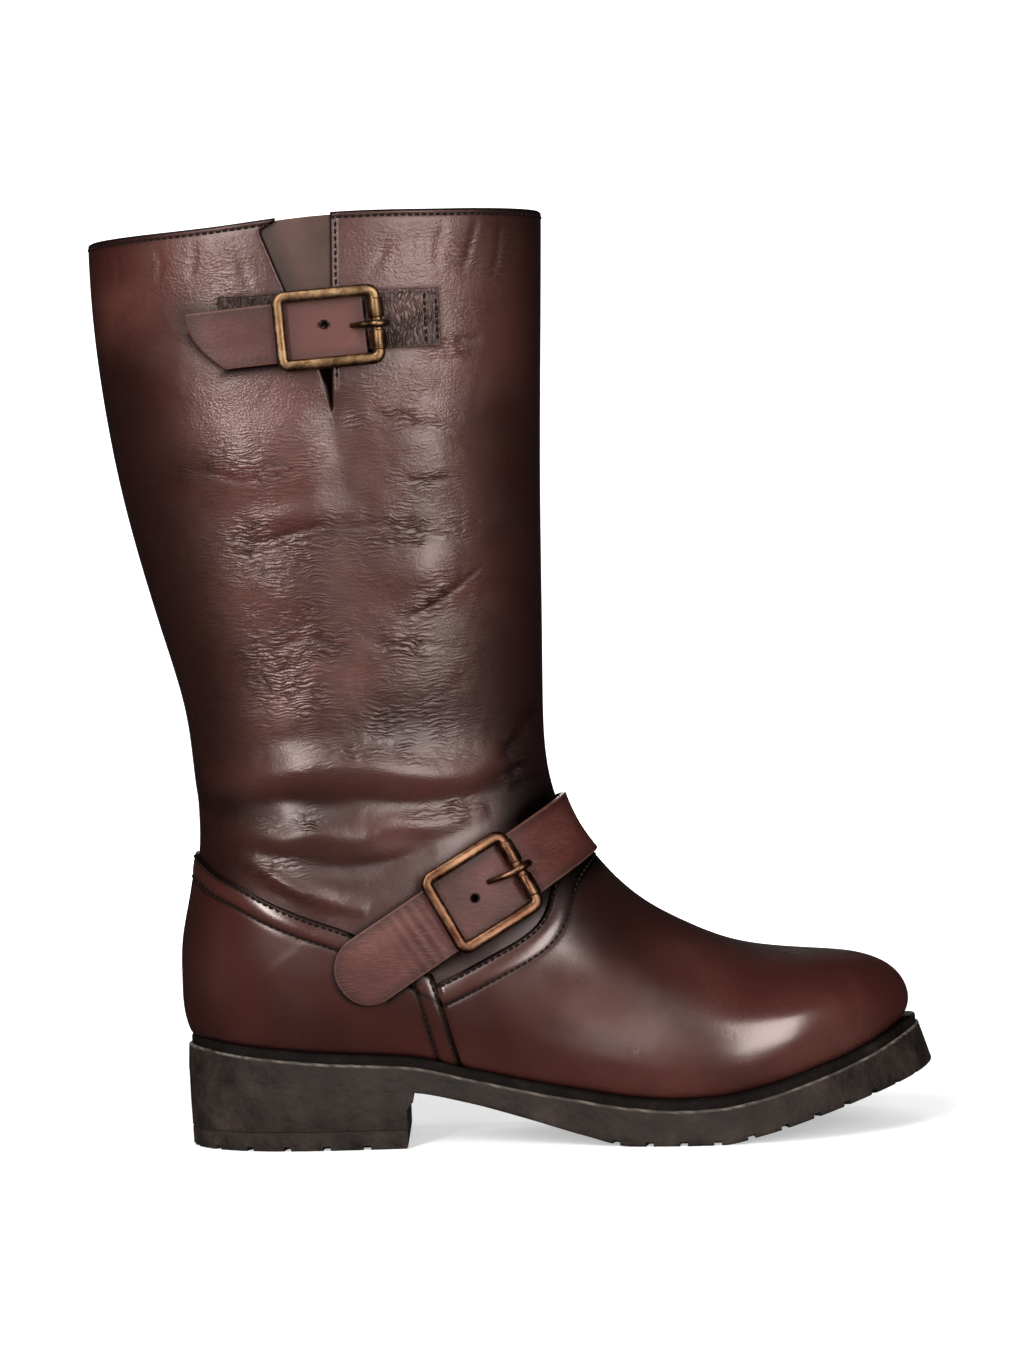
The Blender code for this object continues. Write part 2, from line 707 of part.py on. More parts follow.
def add_upper(sheet):
    collar = below_line(COLLAR_LINE)
    body = cut_sheet(sheet, [collar], within(COLLAR_REGION), lambda p: collar(p) > 0)
    front, back = line_side(SLIT_APEX, SLIT_FRONT), line_side(SLIT_BACK, SLIT_APEX)
    near = within(SLIT_REGION, both_sides=False)
    slit = cut_sheet(body, [front, back], near, lambda p: not (near(p) and front(p) > 0 and back(p) > 0))
    add_solid("upper", shell(slit, -WALL, 0.0))
    wide_front = Place(SLIT_FRONT.x + GUSSET_MARGIN, SLIT_FRONT.z)
    wide_back = Place(SLIT_BACK.x - GUSSET_MARGIN, SLIT_BACK.z)
    low = Place(SLIT_APEX.x, SLIT_APEX.z - GUSSET_MARGIN)
    lines = [line_side(low, wide_front), line_side(wide_back, low)]
    panel = cut_patch(body, lines, within(GUSSET_REGION, both_sides=False))
    add_solid("gusset", shell(panel, -WALL - GAP - 1.0, -WALL - GAP))


def add_overlays(sheet):
    near = within(OVERLAY_REGION)
    ahead = ahead_of_line(VAMP_EDGE)
    vamp = cut_patch(sheet, [ahead, above_welt], near)
    add_solid("vamp", shell(vamp, GAP, GAP + OVERLAY))
    lines = [lambda p: -ahead(p) - GAP, below_line(COUNTER_EDGE), above_welt]
    add_solid("counter", shell(cut_patch(sheet, lines, near), GAP, GAP + OVERLAY))


def strap_lines(band, start, end):
    # Both edges and both ends of a strap; an end is a function of along and across.
    return [
        lambda p: band.half - band_place(band, p)[1],
        lambda p: band.half + band_place(band, p)[1],
        lambda p: start(p, *band_place(band, p)),
        lambda p: end(p, *band_place(band, p)),
    ]


def calf_tip(p, along, across):
    # Slanting tip, longest at the strap's upper edge.
    drop = max((CALF_BAND.half - across) / (2 * CALF_BAND.half), 0.0)
    return along - CALF_TIP - CALF_BAND.half * (drop ** 1.6) * CALF_TIP_SLANT


def ankle_tip(p, along, across):
    # Round corners on the outer side, a straight sewn end on the inner side.
    if not outer_side(p):
        return along - ANKLE_INNER_END
    over = max(abs(across) - ANKLE_BAND.half + ANKLE_TIP_ROUND, 0.0)
    rounding = ANKLE_TIP_ROUND - math.sqrt(max(ANKLE_TIP_ROUND ** 2 - over ** 2, 0.0))
    return along - ANKLE_TIP - rounding


def add_calf_straps(sheet):
    near = within(CALF_REGION, both_sides=False)
    lines = strap_lines(
        CALF_BASE_BAND,
        lambda p, along, across: along - BASE_START,
        lambda p, along, across: BASE_END - along,
    )
    add_solid("calf_strap_base", shell(cut_patch(sheet, lines, near), GAP, GAP + BASE_STRAP))
    lines = strap_lines(CALF_BAND, calf_tip, lambda p, along, across: CALF_END - along)
    low = 2 * GAP + BASE_STRAP
    add_solid("calf_strap", shell(cut_patch(sheet, lines, near), low, low + CALF_STRAP))
    return low + CALF_STRAP


def add_ankle_strap(sheet):
    lines = strap_lines(ANKLE_BAND, ankle_tip, lambda p, along, across: ANKLE_REGION.x_high - p.x)
    low = 2 * GAP + OVERLAY
    add_solid("ankle_strap", shell(cut_patch(sheet, lines, within(ANKLE_REGION)), low, low + ANKLE_STRAP))
    return low + ANKLE_STRAP


# Buckles

class OuterFace:
    # The upper's outer face as seen straight from the side.
    def __init__(self, sheet):
        self.tree = BVHTree.FromBMesh(sheet)
        self.corners = [v.co.copy() for v in sheet.verts]
        sheet.verts.ensure_lookup_table()
        sheet.faces.ensure_lookup_table()
        self.sheet = sheet

    def over(self, x, z, height):
        # The place a given height above the face, along a blend of its corner directions.
        outward = self.sheet.verts.layers.float_vector["outward"]
        hit, _, index, _ = self.tree.ray_cast(Vector((x, -200.0, z)), Vector((0, 1, 0)))
        lean = Vector()
        for vert in self.sheet.faces[index].verts:
            lean += vert[outward] / max((vert.co - hit).length, 0.5)
        return hit + lean.normalized() * height


def frame_route(buckle, face, height):
    # Rounded rectangle of the frame's centre line, laid on the face.
    half_length, half_height = buckle.length / 2 - WIRE, buckle.height / 2 - WIRE
    r = buckle.corner - WIRE
    places = []
    for corner, (sx, sz) in enumerate(((1, 1), (-1, 1), (-1, -1), (1, -1))):
        for step in range(4):
            angle = math.pi / 2 * (corner + step / 3)
            places.append((sx * (half_length - r) + r * math.cos(angle),
                           sz * (half_height - r) + r * math.sin(angle)))
    return [on_face(buckle, face, a, b, height) for a, b in places]


def on_face(buckle, face, along, across, height):
    c, s = math.cos(buckle.slope), math.sin(buckle.slope)
    return face.over(buckle.x + along * c - across * s, buckle.z + along * s + across * c, height)


def sleeve(start, end, inner, outer, sides_count=12):
    # Short tube round the buckle's bar.
    axis = (end - start).normalized()
    across = axis.orthogonal().normalized()
    third = axis.cross(across)
    bm = bmesh.new()
    loops = []
    for place, radius in ((start, inner), (start, outer), (end, outer), (end, inner)):
        turns = [2 * math.pi * i / sides_count for i in range(sides_count)]
        loops.append([bm.verts.new(place + (across * math.cos(t) + third * math.sin(t)) * radius)
                      for t in turns])
    for i in range(4):
        first, second = loops[i - 1], loops[i]
        for k in range(sides_count):
            bm.faces.new((first[k - 1], first[k], second[k], second[k - 1]))
    return bm


def add_buckle(name, buckle, face, strap_top, height, prong_reach):
    # Frame, two rollers on its front bar, and a prong hooked over that bar.
    add_wire(name + "_buckle", frame_route(buckle, face, height), WIRE, True)
    bar = buckle.length / 2 - WIRE
    straight_half = buckle.height / 2 - buckle.corner
    ends = [on_face(buckle, face, bar, side * straight_half, height) for side in (-1, 1)]
    straight = ends[1] - ends[0]
    for roller in ROLLERS:
        start, end = ends[0] + straight * roller.start, ends[0] + straight * roller.end
        add_solid(name + roller.label, sleeve(start, end, WIRE + GAP, SLEEVE), "buckle")
    middle = ends[0] + straight * 0.5
    away = (on_face(buckle, face, bar, 0, height + 1) - on_face(buckle, face, bar, 0, height)).normalized()
    back = straight.normalized().cross(away).normalized()
    if back.x > 0:
        back = -back
    hook = WIRE + GAP + PRONG
    turns = [math.radians(t) for t in (-10, 20, 50, 80, 110, 140)]
    route = [middle + (away * math.sin(t) - back * math.cos(t)) * hook for t in turns]
    for share in (0.5, 1.0):
        rest = strap_top + GAP + PRONG + (1 - share) * PRONG_DIP
        route.append(on_face(buckle, face, bar - hook - share * prong_reach, 0, rest))
    add_wire(name + "_prong", route, PRONG, False)


# Assembly

for old in list(bpy.data.objects):
    bpy.data.objects.remove(old, do_unlink=True)

ROOT = bpy.data.objects.new("boot", None)
bpy.context.scene.collection.objects.link(ROOT)

add_outsole()
add_heel()
add_welt()
add_insole()
skin = upper_sheet()
add_upper(skin)
add_overlays(skin)
calf_top = add_calf_straps(skin)
ankle_top = add_ankle_strap(skin)
outer_face = OuterFace(skin)
add_buckle("calf", CALF_BUCKLE, outer_face, calf_top, calf_top + GAP + WIRE, CALF_PRONG_REACH)
add_buckle("ankle", ANKLE_BUCKLE, outer_face, ankle_top, ankle_top + GAP + SLEEVE, ANKLE_PRONG_REACH)

# The origin lies on the floor under the middle of the boot.
solids = [o for o in bpy.data.objects if o.type == "MESH" and not o.hide_render]
spread = np.array([v.co for o in solids for v in o.data.vertices])
centre = (spread.min(axis=0) + spread.max(axis=0)) / 2
ROOT.location = (-centre[0], -centre[1], 0.0)
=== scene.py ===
import math

import bpy
import numpy as np
from mathutils import Matrix, Vector
from mathutils.bvhtree import BVHTree


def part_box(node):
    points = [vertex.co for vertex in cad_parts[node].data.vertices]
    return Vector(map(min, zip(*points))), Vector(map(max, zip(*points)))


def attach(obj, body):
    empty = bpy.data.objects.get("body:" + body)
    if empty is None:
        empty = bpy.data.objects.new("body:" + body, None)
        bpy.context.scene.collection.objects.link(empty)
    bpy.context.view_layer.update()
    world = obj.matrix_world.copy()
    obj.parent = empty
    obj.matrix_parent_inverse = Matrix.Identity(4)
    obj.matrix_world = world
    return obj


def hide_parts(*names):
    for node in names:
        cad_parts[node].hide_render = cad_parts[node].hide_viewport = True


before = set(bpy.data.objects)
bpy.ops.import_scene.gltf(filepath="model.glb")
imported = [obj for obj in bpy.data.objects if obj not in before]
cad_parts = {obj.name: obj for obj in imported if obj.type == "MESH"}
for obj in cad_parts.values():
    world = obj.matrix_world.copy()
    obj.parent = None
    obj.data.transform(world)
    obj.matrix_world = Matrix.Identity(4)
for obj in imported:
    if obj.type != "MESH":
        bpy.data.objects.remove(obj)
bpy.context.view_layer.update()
print("frame loaded")

# Lengths are millimetres, x from the back of the heel, z from the floor, until a mesh is made.

sole = {
    "length": 280.0,
    "toeTipY": 6.0,
    # x, half-width to the outer side, half-width to the inner side
    "plan": [
        (5, 14.0, 14.0), (20, 26.5, 26.0), (50, 34.0, 33.0), (85, 35.0, 32.5), (120, 37.5, 30.5),
        (150, 44.0, 34.5), (180, 50.5, 43.0), (206, 51.5, 50.0), (231, 47.0, 51.0),
        (253, 36.0, 44.0), (270, 20.0, 30.5),
    ],
    # x, underside, top edge, how far the top edge is set in
    "profile": [
        (0, 28.5, 38.6, 0.3), (26, 25.0, 35.0, 0.3), (50, 23.0, 32.6, 0.3), (84, 20.9, 30.2, 0.4),
        (105, 16.5, 25.4, 0.6), (128, 9.9, 20.2, 0.7), (148, 3.9, 16.6, 0.8), (165, 0.0, 14.0, 0.9),
        (182, 0.0, 12.8, 1.0), (197, 0.0, 13.4, 1.2), (213, 3.0, 16.2, 1.6), (233, 8.4, 21.8, 2.4),
        (253, 14.2, 28.2, 3.6), (270, 19.0, 35.2, 4.2), (280, 22.0, 39.0, 4.4),
    ],
    # x, how far the upper's lower edge stands in from the outline
    "margin": [(0, 3.2), (40, 4.4), (100, 5.6), (150, 7.4), (200, 9.0), (250, 11.0), (280, 14.0)],
    "weltHeight": 3.4,
    "gap": 0.3,
    "samples": 960,
}

upper = {
    # z, x of the back of the leg
    "back": [
        (42, 3.2), (49, 1.2), (62, 0.4), (76, 0.9), (92, 4.0), (106, 6.4), (122, 7.3), (140, 6.0),
        (160, 4.0), (190, -3.4), (215, -10.2), (245, -17.2), (275, -22.2), (305, -25.4),
        (330, -26.5), (365, -26.2),
    ],
    # station, top line x and z, middle, half-width outer and inner, share at the widest, exponent
    "arches": [
        (0.00, 266.0, 37.7, 6.0, 0.3, 0.3, 0.74, 2.20),
        (0.05, 270.0, 44.4, 5.8, 10.0, 9.8, 0.72, 2.20),
        (0.10, 268.6, 52.0, 5.4, 20.0, 19.8, 0.70, 2.20),
        (0.15, 262.6, 58.0, 4.8, 29.6, 29.0, 0.70, 2.25),
        (0.20, 252.0, 61.8, 4.0, 37.6, 36.4, 0.70, 2.30),
        (0.25, 238.0, 63.5, 3.0, 43.2, 41.2, 0.72, 2.35),
        (0.30, 221.0, 65.3, 2.0, 46.4, 42.6, 0.74, 2.30),
        (0.35, 204.0, 69.0, 0.8, 46.8, 40.8, 0.76, 2.25),
        (0.40, 188.0, 75.9, -0.5, 44.4, 37.4, 0.78, 2.20),
        (0.45, 174.0, 83.9, -1.5, 40.4, 34.4, 0.78, 2.15),
        (0.50, 162.5, 93.6, -2.2, 37.0, 32.8, 0.76, 2.10),
        (0.55, 154.0, 103.5, -2.4, 35.2, 33.0, 0.74, 2.05),
        (0.60, 148.0, 112.0, -2.2, 34.6, 33.8, 0.72, 2.00),
        (0.65, 144.0, 119.6, -1.8, 34.6, 34.8, 0.70, 2.00),
        (0.70, 141.4, 126.4, -1.4, 34.8, 35.4, 0.68, 2.05),
        (0.80, 138.8, 138.0, -0.8, 35.0, 35.4, 0.65, 2.10),
        (0.90, 137.9, 147.5, -0.3, 35.0, 35.2, 0.62, 2.10),
        (1.00, 137.7, 156.0, 0.0, 35.0, 35.0, 0.60, 2.15),
        (1.20, 138.0, 177.0, 0.0, 35.5, 35.5, 0.57, 2.15),
        (1.40, 138.6, 207.0, 0.0, 36.5, 36.5, 0.54, 2.20),
        (1.60, 139.4, 246.0, 0.0, 39.0, 39.0, 0.52, 2.25),
        (1.80, 141.0, 292.0, 0.0, 43.0, 43.0, 0.51, 2.30),
        (2.00, 142.9, 345.4, 0.0, 46.0, 46.0, 0.50, 2.35),
        (2.06, 143.4, 363.0, 0.0, 46.6, 46.6, 0.50, 2.35),
    ],
    "collarBack": 339.2,
    "collarRise": 1.45,
    "ridgeShift": 4.0,
    "wall": 1.8,
    # how the turn from the foot's rows to the shaft's rows is evened out
    "seamReach": 0.16,
    "seamEdge": 0.12,
    "seamPasses": 50,
    "footRows": 300,
    "shaftRows": 310,
    "outerColumns": 170,
    "innerColumns": 90,
}


# curves through short tables

def spline(knots, values, at):
    step = np.diff(knots)
    slope = np.diff(values) / step
    count = len(knots)
    matrix = np.eye(count)
    right = np.zeros(count)
    for i in range(1, count - 1):
        matrix[i, i - 1:i + 2] = step[i - 1], 2 * (step[i - 1] + step[i]), step[i]
        right[i] = 6 * (slope[i] - slope[i - 1])
    bend = np.linalg.solve(matrix, right)
    at = np.asarray(at, float)
    i = np.clip(np.searchsorted(knots, at) - 1, 0, count - 2)
    near, far = at - knots[i], knots[i + 1] - at
    cubic = (bend[i] * far ** 3 + bend[i + 1] * near ** 3) / (6 * step[i])
    line = (values[i] / step[i] - bend[i] * step[i] / 6) * far
    return cubic + line + (values[i + 1] / step[i] - bend[i + 1] * step[i] / 6) * near


def hermite(knots, values, tangent, at):
    i = np.clip(np.searchsorted(knots, at) - 1, 0, len(knots) - 2)
    step = knots[i + 1] - knots[i]
    t = (at - knots[i]) / step
    ends = values[i] * (1 + 2 * t) * (1 - t) ** 2 + values[i + 1] * t * t * (3 - 2 * t)
    return ends + step * (tangent[i] * t * (1 - t) ** 2 + tangent[i + 1] * t * t * (t - 1))


def steady(knots, values, at):
    # rises and falls only where the values do
    slope = np.diff(values) / np.diff(knots)
    tangent = np.concatenate([slope[:1], np.zeros(len(slope) - 1), slope[-1:]])
    for i in range(1, len(slope)):
        if slope[i - 1] * slope[i] > 0:
            tangent[i] = 2 / (1 / slope[i - 1] + 1 / slope[i])
    return hermite(knots, values, tangent, np.clip(np.asarray(at, float), knots[0], knots[-1]))


def column(rows, k):
    return np.array([row[k] for row in rows], float)


def runLength(path):
    # length along a line at each of its points
    return np.concatenate([[0], np.cumsum(np.linalg.norm(np.diff(path, axis=0), axis=1))])


def smoothLine(places, step=1.5):
    # even steps along a smooth curve through (x, z) places
    places = np.array(places, float)
    run = runLength(places)
    at = np.linspace(0, run[-1], max(int(run[-1] / step), 2) + 1)
    return np.stack([hermite(run, line, np.gradient(line, run), at) for line in places.T], axis=1)


def softStep(value, low, high):
    t = np.clip((value - low) / (high - low), 0, 1)
    return t * t * (3 - 2 * t)


# the last: outline of the sole and the surface of the upper

def soleHeight(k, x):
    return steady(column(sole["profile"], 0), column(sole["profile"], k), x)


def featherHeight(x):
    return soleHeight(2, x) + sole["weltHeight"] + 2 * sole["gap"]


def soleOutline():
    corners = [(sole["length"], sole["toeTipY"])]
    corners += [(x, -outer) for x, outer, inner in reversed(sole["plan"])]
    corners += [(0.0, 0.0)]
    corners += [(x, inner) for x, outer, inner in sole["plan"]]
    points = np.array(corners * 3 + corners[:1])
    run = runLength(points)
    turn = len(corners)
    along = np.linspace(run[turn], run[2 * turn], sole["samples"], endpoint=False)
    return np.stack([spline(run, points[:, 0], along), spline(run, points[:, 1], along)], axis=1)


def inset(line, distance):
    tangent = np.roll(line, -1, axis=0) - np.roll(line, 1, axis=0)
    tangent /= np.linalg.norm(tangent, axis=1)[:, None]
    inward = np.stack([tangent[:, 1], -tangent[:, 0]], axis=1)
    if np.sum(inward * (np.array([sole["length"] / 2, 0.0]) - line)) < 0:
        inward = -inward
    return line + inward * np.broadcast_to(np.asarray(distance, float), len(line))[:, None]


def sides(line):
    tip, back = int(np.argmax(line[:, 0])), int(np.argmin(line[:, 0]))
    ring = np.roll(line, -tip, axis=0)
    split = (back - tip) % len(line)
    return ring[:split + 1][::-1], np.concatenate([ring[split:], ring[:1]])


outline = soleOutline()
rimOutline = inset(outline, soleHeight(3, outline[:, 0]))
margin = sole["margin"]
feather = inset(outline, steady(column(margin, 0), column(margin, 1), outline[:, 0]))
featherOuter, featherInner = sides(feather)
featherBack, featherTip = featherOuter[0, 0], featherOuter[-1, 0]
outsoleBox = np.array(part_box("outsole"))
shift = np.append(outsoleBox[0][:2] - outline.min(axis=0) / 1000, 0)  # to the frame's own zero, in metres


def archGrid(stations, across):
    # points of the upper's outer face, one row for each station
    s = np.asarray(stations, float)[:, None]
    q = np.asarray(across, float)[None, :]
    knots = column(upper["arches"], 0)
    topX, topZ, middle, outer, inner, widest, square = (
        spline(knots, column(upper["arches"], k), s) for k in range(1, 8))
    footX = featherBack + (featherTip - featherBack) * (1 + np.cos(np.pi * np.clip(s, 0, 1))) / 2
    low = featherHeight(featherBack)
    backZ = low + (upper["collarBack"] - low) * np.clip(s - 1, 0, None) ** upper["collarRise"]
    backX = spline(column(upper["back"], 0), column(upper["back"], 1), backZ)
    onBack = s > 1
    endX, endZ = np.where(onBack, backX, footX), np.where(onBack, backZ, featherHeight(footX))
    footOuter = np.maximum(middle - np.interp(footX, featherOuter[:, 0], featherOuter[:, 1]), 0)
    footInner = np.maximum(np.interp(footX, featherInner[:, 0], featherInner[:, 1]) - middle, 0)
    foot = np.where(onBack, 0.0, np.where(q < 0, footOuter, footInner))
    half = np.maximum(np.maximum(np.where(q < 0, outer, inner), 1.02 * foot), 0.01)
    power = 2 / square
    last = np.pi - np.arcsin(np.minimum(foot / half, 1.0) ** (1 / power))
    angle = np.abs(q) * last
    ridge = np.where(s < 1, upper["ridgeShift"] * np.sin(np.pi * s) ** 2, 0.0)
    side = np.where(q < 0, -1.0, 1.0)
    reach = np.abs(np.sin(angle)) ** power
    front = angle <= np.pi / 2
    cosine = np.cos(angle)
    ahead = widest * (1 - np.maximum(cosine, 0) ** power)
    behind = widest + (1 - widest) / (-np.cos(last)) ** power * np.maximum(-cosine, 0) ** power
    along = np.where(front, ahead, behind)
    y = np.where(front, middle + ridge + (side * half - ridge) * reach, middle + side * half * reach)
    return np.stack([topX + (endX - topX) * along, y, topZ + (endZ - topZ) * along], axis=-1)


def baseSheet(footRows, shaftRows, outerColumns, innerColumns):
    # the whole outer face as points, outward directions and four-sided faces
    stations = np.concatenate([np.linspace(0.006, 1, footRows + 1), np.linspace(1, 2.05, shaftRows + 1)[1:]])
    across = np.concatenate([np.linspace(-1, 0, outerColumns + 1), np.linspace(0, 1, innerColumns + 1)[1:]])
    points = archGrid(stations, across)
    rowsAway = np.abs(np.arange(len(stations)) - footRows) / (upper["seamReach"] * footRows)
    inFromEdge = (1 - np.abs(across)) / upper["seamEdge"]
    weight = np.clip(1 - rowsAway, 0, 1)[1:-1, None, None] * np.clip(inFromEdge, 0, 1)[None, :, None]
    for _ in range(upper["seamPasses"]):
        points[1:-1] += (points[:-2] - 2 * points[1:-1] + points[2:]) / 4 * weight
    outward = np.cross(np.gradient(points, stations, axis=0), np.gradient(points, across, axis=1))
    outward /= np.maximum(np.linalg.norm(outward, axis=-1), 1e-9)[..., None]
    if outward[len(stations) // 2, outerColumns // 2, 1] > 0:
        outward = -outward
    closed = stations >= 1
    outward[closed, 0] = outward[closed, 0] + outward[closed, -1]
    outward[closed, 0] /= np.linalg.norm(outward[closed, 0], axis=-1)[:, None]
    index = np.arange(points.size // 3).reshape(points.shape[:2])
    index[closed, -1] = index[closed, 0]
    quads = np.stack([index[:-1, :-1], index[:-1, 1:], index[1:, 1:], index[1:, :-1]], axis=-1).reshape(-1, 4)
    points, outward = points.reshape(-1, 3), outward.reshape(-1, 3)
    a, b, c = (points[quads[:, k]] for k in (0, 1, 2))
    facing = np.sum(np.cross(b - a, c - a) * outward[quads[:, 0]], axis=1)
    if np.median(facing) < 0:
        quads = quads[:, ::-1]
    return {"points": points, "outward": outward, "quads": quads}


# cutting pieces out of the sheet

snap = 0.02  # a point this near a cut lies on it


def takePatch(sheet, near):
    # the faces of a sheet that touch a region, as a piece of its own
    inside = near(sheet["points"])
    quads = sheet["quads"][inside[sheet["quads"]].any(axis=1)]
    used, places = np.unique(quads, return_inverse=True)
    faces = [tuple(dict.fromkeys(row)) for row in places.reshape(quads.shape).tolist()]
    return {
        "points": sheet["points"][used],
        "outward": sheet["outward"][used],
        "faces": [face for face in faces if len(face) > 2],
        "fields": {},
    }


def compact(patch):
    used = np.unique(np.fromiter((i for face in patch["faces"] for i in face), int))
    place = np.full(len(patch["points"]), -1)
    place[used] = np.arange(len(used))
    place = place.tolist()
    patch["faces"] = [tuple(place[i] for i in face) for face in patch["faces"]]
    patch["points"], patch["outward"] = patch["points"][used], patch["outward"][used]
    patch["fields"] = {name: field[used] for name, field in patch["fields"].items()}


def score(patch, name, level=0.0):
    # splits faces where a field passes a level
    value = patch["fields"][name] - level
    value[np.abs(value) < snap] = 0.0
    sign = np.sign(value).astype(int).tolist()
    count, made, faces = len(value), {}, []
    for face in patch["faces"]:
        marks = [sign[i] for i in face]
        if min(marks) >= 0 or max(marks) <= 0:
            faces.append(face)
            continue
        over, under = [], []
        for a, b in zip(face, face[1:] + face[:1]):
            if sign[a] >= 0:
                over.append(a)
            if sign[a] <= 0:
                under.append(a)
            if sign[a] * sign[b] < 0:
                added = made.setdefault((min(a, b), max(a, b)), count + len(made))
                over.append(added)
                under.append(added)
        faces += [tuple(part) for part in (over, under) if len(part) > 2]
    patch["faces"] = faces
    if not made:
        return
    a, b = np.array(list(made)).T
    t = value[a] / (value[a] - value[b])
    for key in ("points", "outward"):
        known = patch[key]
        patch[key] = np.vstack([known, known[a] * (1 - t)[:, None] + known[b] * t[:, None]])
    patch["outward"] /= np.linalg.norm(patch["outward"], axis=1)[:, None]
    for key, field in patch["fields"].items():
        patch["fields"][key] = np.append(field, field[a] * (1 - t) + field[b] * t)


def trim(patch, name, level=0.0):
    # keeps the side of a scored line where the field is above the level
    score(patch, name, level)
    value = (patch["fields"][name] - level).tolist()
    patch["faces"] = [face for face in patch["faces"] if sum(value[i] for i in face) > 0]
    compact(patch)


def nearestOn(line, place):
    # squared distance to a line in side view, how far along it that is, and on which side
    best, share, side = np.full(len(place), 1e12), np.zeros(len(place)), np.ones(len(place))
    for k, (start, end) in enumerate(zip(line[:-1], line[1:])):
        way, rel = end - start, place - start
        t = np.clip(rel @ way / (way @ way), 0, 1)
        off = rel - t[:, None] * way
        square = np.sum(off * off, axis=1)
        closer = square < best
        best[closer] = square[closer]
        share[closer] = (k + t[closer]) / (len(line) - 1)
        side[closer] = np.sign(way[0] * rel[closer, 1] - way[1] * rel[closer, 0])
    return best, share, side


def lineDistance(line, points):
    # positive on the left of the line's way
    square, share, side = nearestOn(line, points[:, [0, 2]])
    return side * np.sqrt(square)


def chains(patch, name, level):
    # ordered runs of points along a scored line
    on = (np.abs(patch["fields"][name] - level) < 1.05 * snap).tolist()
    links = {}
    for face in patch["faces"]:
        for a, b in zip(face, face[1:] + face[:1]):
            if on[a] and on[b]:
                links.setdefault(a, set()).add(b)
                links.setdefault(b, set()).add(a)
    runs, seen = [], set()
    ends = [i for i, near in links.items() if len(near) == 1]
    for start in ends + list(links):
        if start in seen:
            continue
        run, here = [start], start
        seen.add(start)
        while True:
            ahead = [i for i in links[here] if i not in seen]
            if not ahead:
                break
            here = ahead[0]
            seen.add(here)
            run.append(here)
        if len(run) > 6:
            runs.append(run)
    return runs


# making objects

def linkObject(name, data):
    made = bpy.data.objects.new(name, data)
    bpy.context.scene.collection.objects.link(made)
    return made


def addMesh(name, points, faces, materials, tags=None, fields=None, sharp=None):
    mesh = bpy.data.meshes.new(name)
    mesh.from_pydata((np.asarray(points) / 1000 + shift).tolist(), [], faces)
    for material in materials:
        mesh.materials.append(material)
    if tags is not None:
        mesh.polygons.foreach_set("material_index", np.asarray(tags, np.int32))
    for key, field in (fields or {}).items():
        layer = mesh.attributes.new(key, "FLOAT", "POINT")
        layer.data.foreach_set("value", np.asarray(field, np.float32))
    mesh.validate()
    mesh.shade_smooth()
    if sharp:
        mesh.set_sharp_from_angle(angle=math.radians(sharp))
    made = linkObject(name, mesh)
    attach(made, "root")
    return made


def shell(patch, top, bottom, closed=True):
    # outer face, rim and, if closed, underside; tags are 0 face, 1 rim, 2 underside
    points, count = patch["points"], len(patch["points"])
    over = points + patch["outward"] * np.broadcast_to(top, count)[:, None]
    under = points + patch["outward"] * np.broadcast_to(bottom, count)[:, None]
    faces = list(patch["faces"])
    tags = [0] * len(faces)
    sides = dict.fromkeys((a, b) for face in patch["faces"] for a, b in zip(face, face[1:] + face[:1]))
    rim = [(b, a, a + count, b + count) for a, b in sides if (b, a) not in sides]
    faces += rim
    tags += [1] * len(rim)
    if closed:
        faces += [tuple(i + count for i in reversed(face)) for face in patch["faces"]]
        tags += [2] * len(patch["faces"])
    return np.vstack([over, under]), faces, tags


def roundEdge(distance, radius):
    t = np.clip(distance / radius, 0, 1)
    return np.sqrt(np.maximum(1 - (1 - t) ** 2, 0))


def dip(distance, at, width):
    return np.exp(-((distance - at) / width) ** 2)


def spot(points, x, z, reachX, reachZ):
    # soft round patch in side view
    return np.exp(-((points[:, 0] - x) / reachX) ** 2 - ((points[:, 2] - z) / reachZ) ** 2)


def leatherFields(points, **shares):
    # the first and last fields are painted shade; the second is wear and painted highlight
    names = ("burnish", "wearAndSheen", "crinkle", "pebble", "grime")
    return {name: np.clip(shares.get(name, 0.0) + np.zeros(len(points)), 0, 1) for name in names}


def addCover(name, patch, top, bottom, materials, shares, sharp, closed=False):
    # a patch as a sheet between two heights over the upper
    points, faces, tags = shell(patch, top, bottom, closed)
    fields = {key: np.tile(field, 2) for key, field in leatherFields(patch["points"], **shares).items()}
    return addMesh(name, points, faces, materials, tags, fields, sharp)


# materials

def addNode(tree, kind, inputs=None, **settings):
    made = tree.nodes.new(kind)
    for key, value in settings.items():
        setattr(made, key, value)
    for key, value in (inputs or {}).items():
        if isinstance(value, bpy.types.NodeSocket):
            tree.links.new(value, made.inputs[key])
        else:
            made.inputs[key].default_value = value
    return made


def startMaterial(name):
    made = bpy.data.materials.new(name)
    made.use_nodes = True
    tree = made.node_tree
    return made, tree, tree.nodes["Principled BSDF"]


def noise(tree, place, scale, detail=4.0, rough=0.55, stretch=None, warp=0.0):
    if stretch:
        place = addNode(tree, "ShaderNodeMapping", {"Vector": place, "Scale": stretch}).outputs[0]
    values = {"Vector": place, "Scale": scale, "Detail": detail, "Roughness": rough, "Distortion": warp}
    return addNode(tree, "ShaderNodeTexNoise", values).outputs["Fac"]


def ramp(tree, value, stops):
    made = addNode(tree, "ShaderNodeValToRGB", {"Fac": value})
    band = made.color_ramp
    while len(band.elements) < len(stops):
        band.elements.new(0.5)
    for element, (place, colour) in zip(band.elements, stops):
        element.position = place
        element.color = (*colour, 1.0) if len(colour) == 3 else colour
    return made.outputs["Color"]


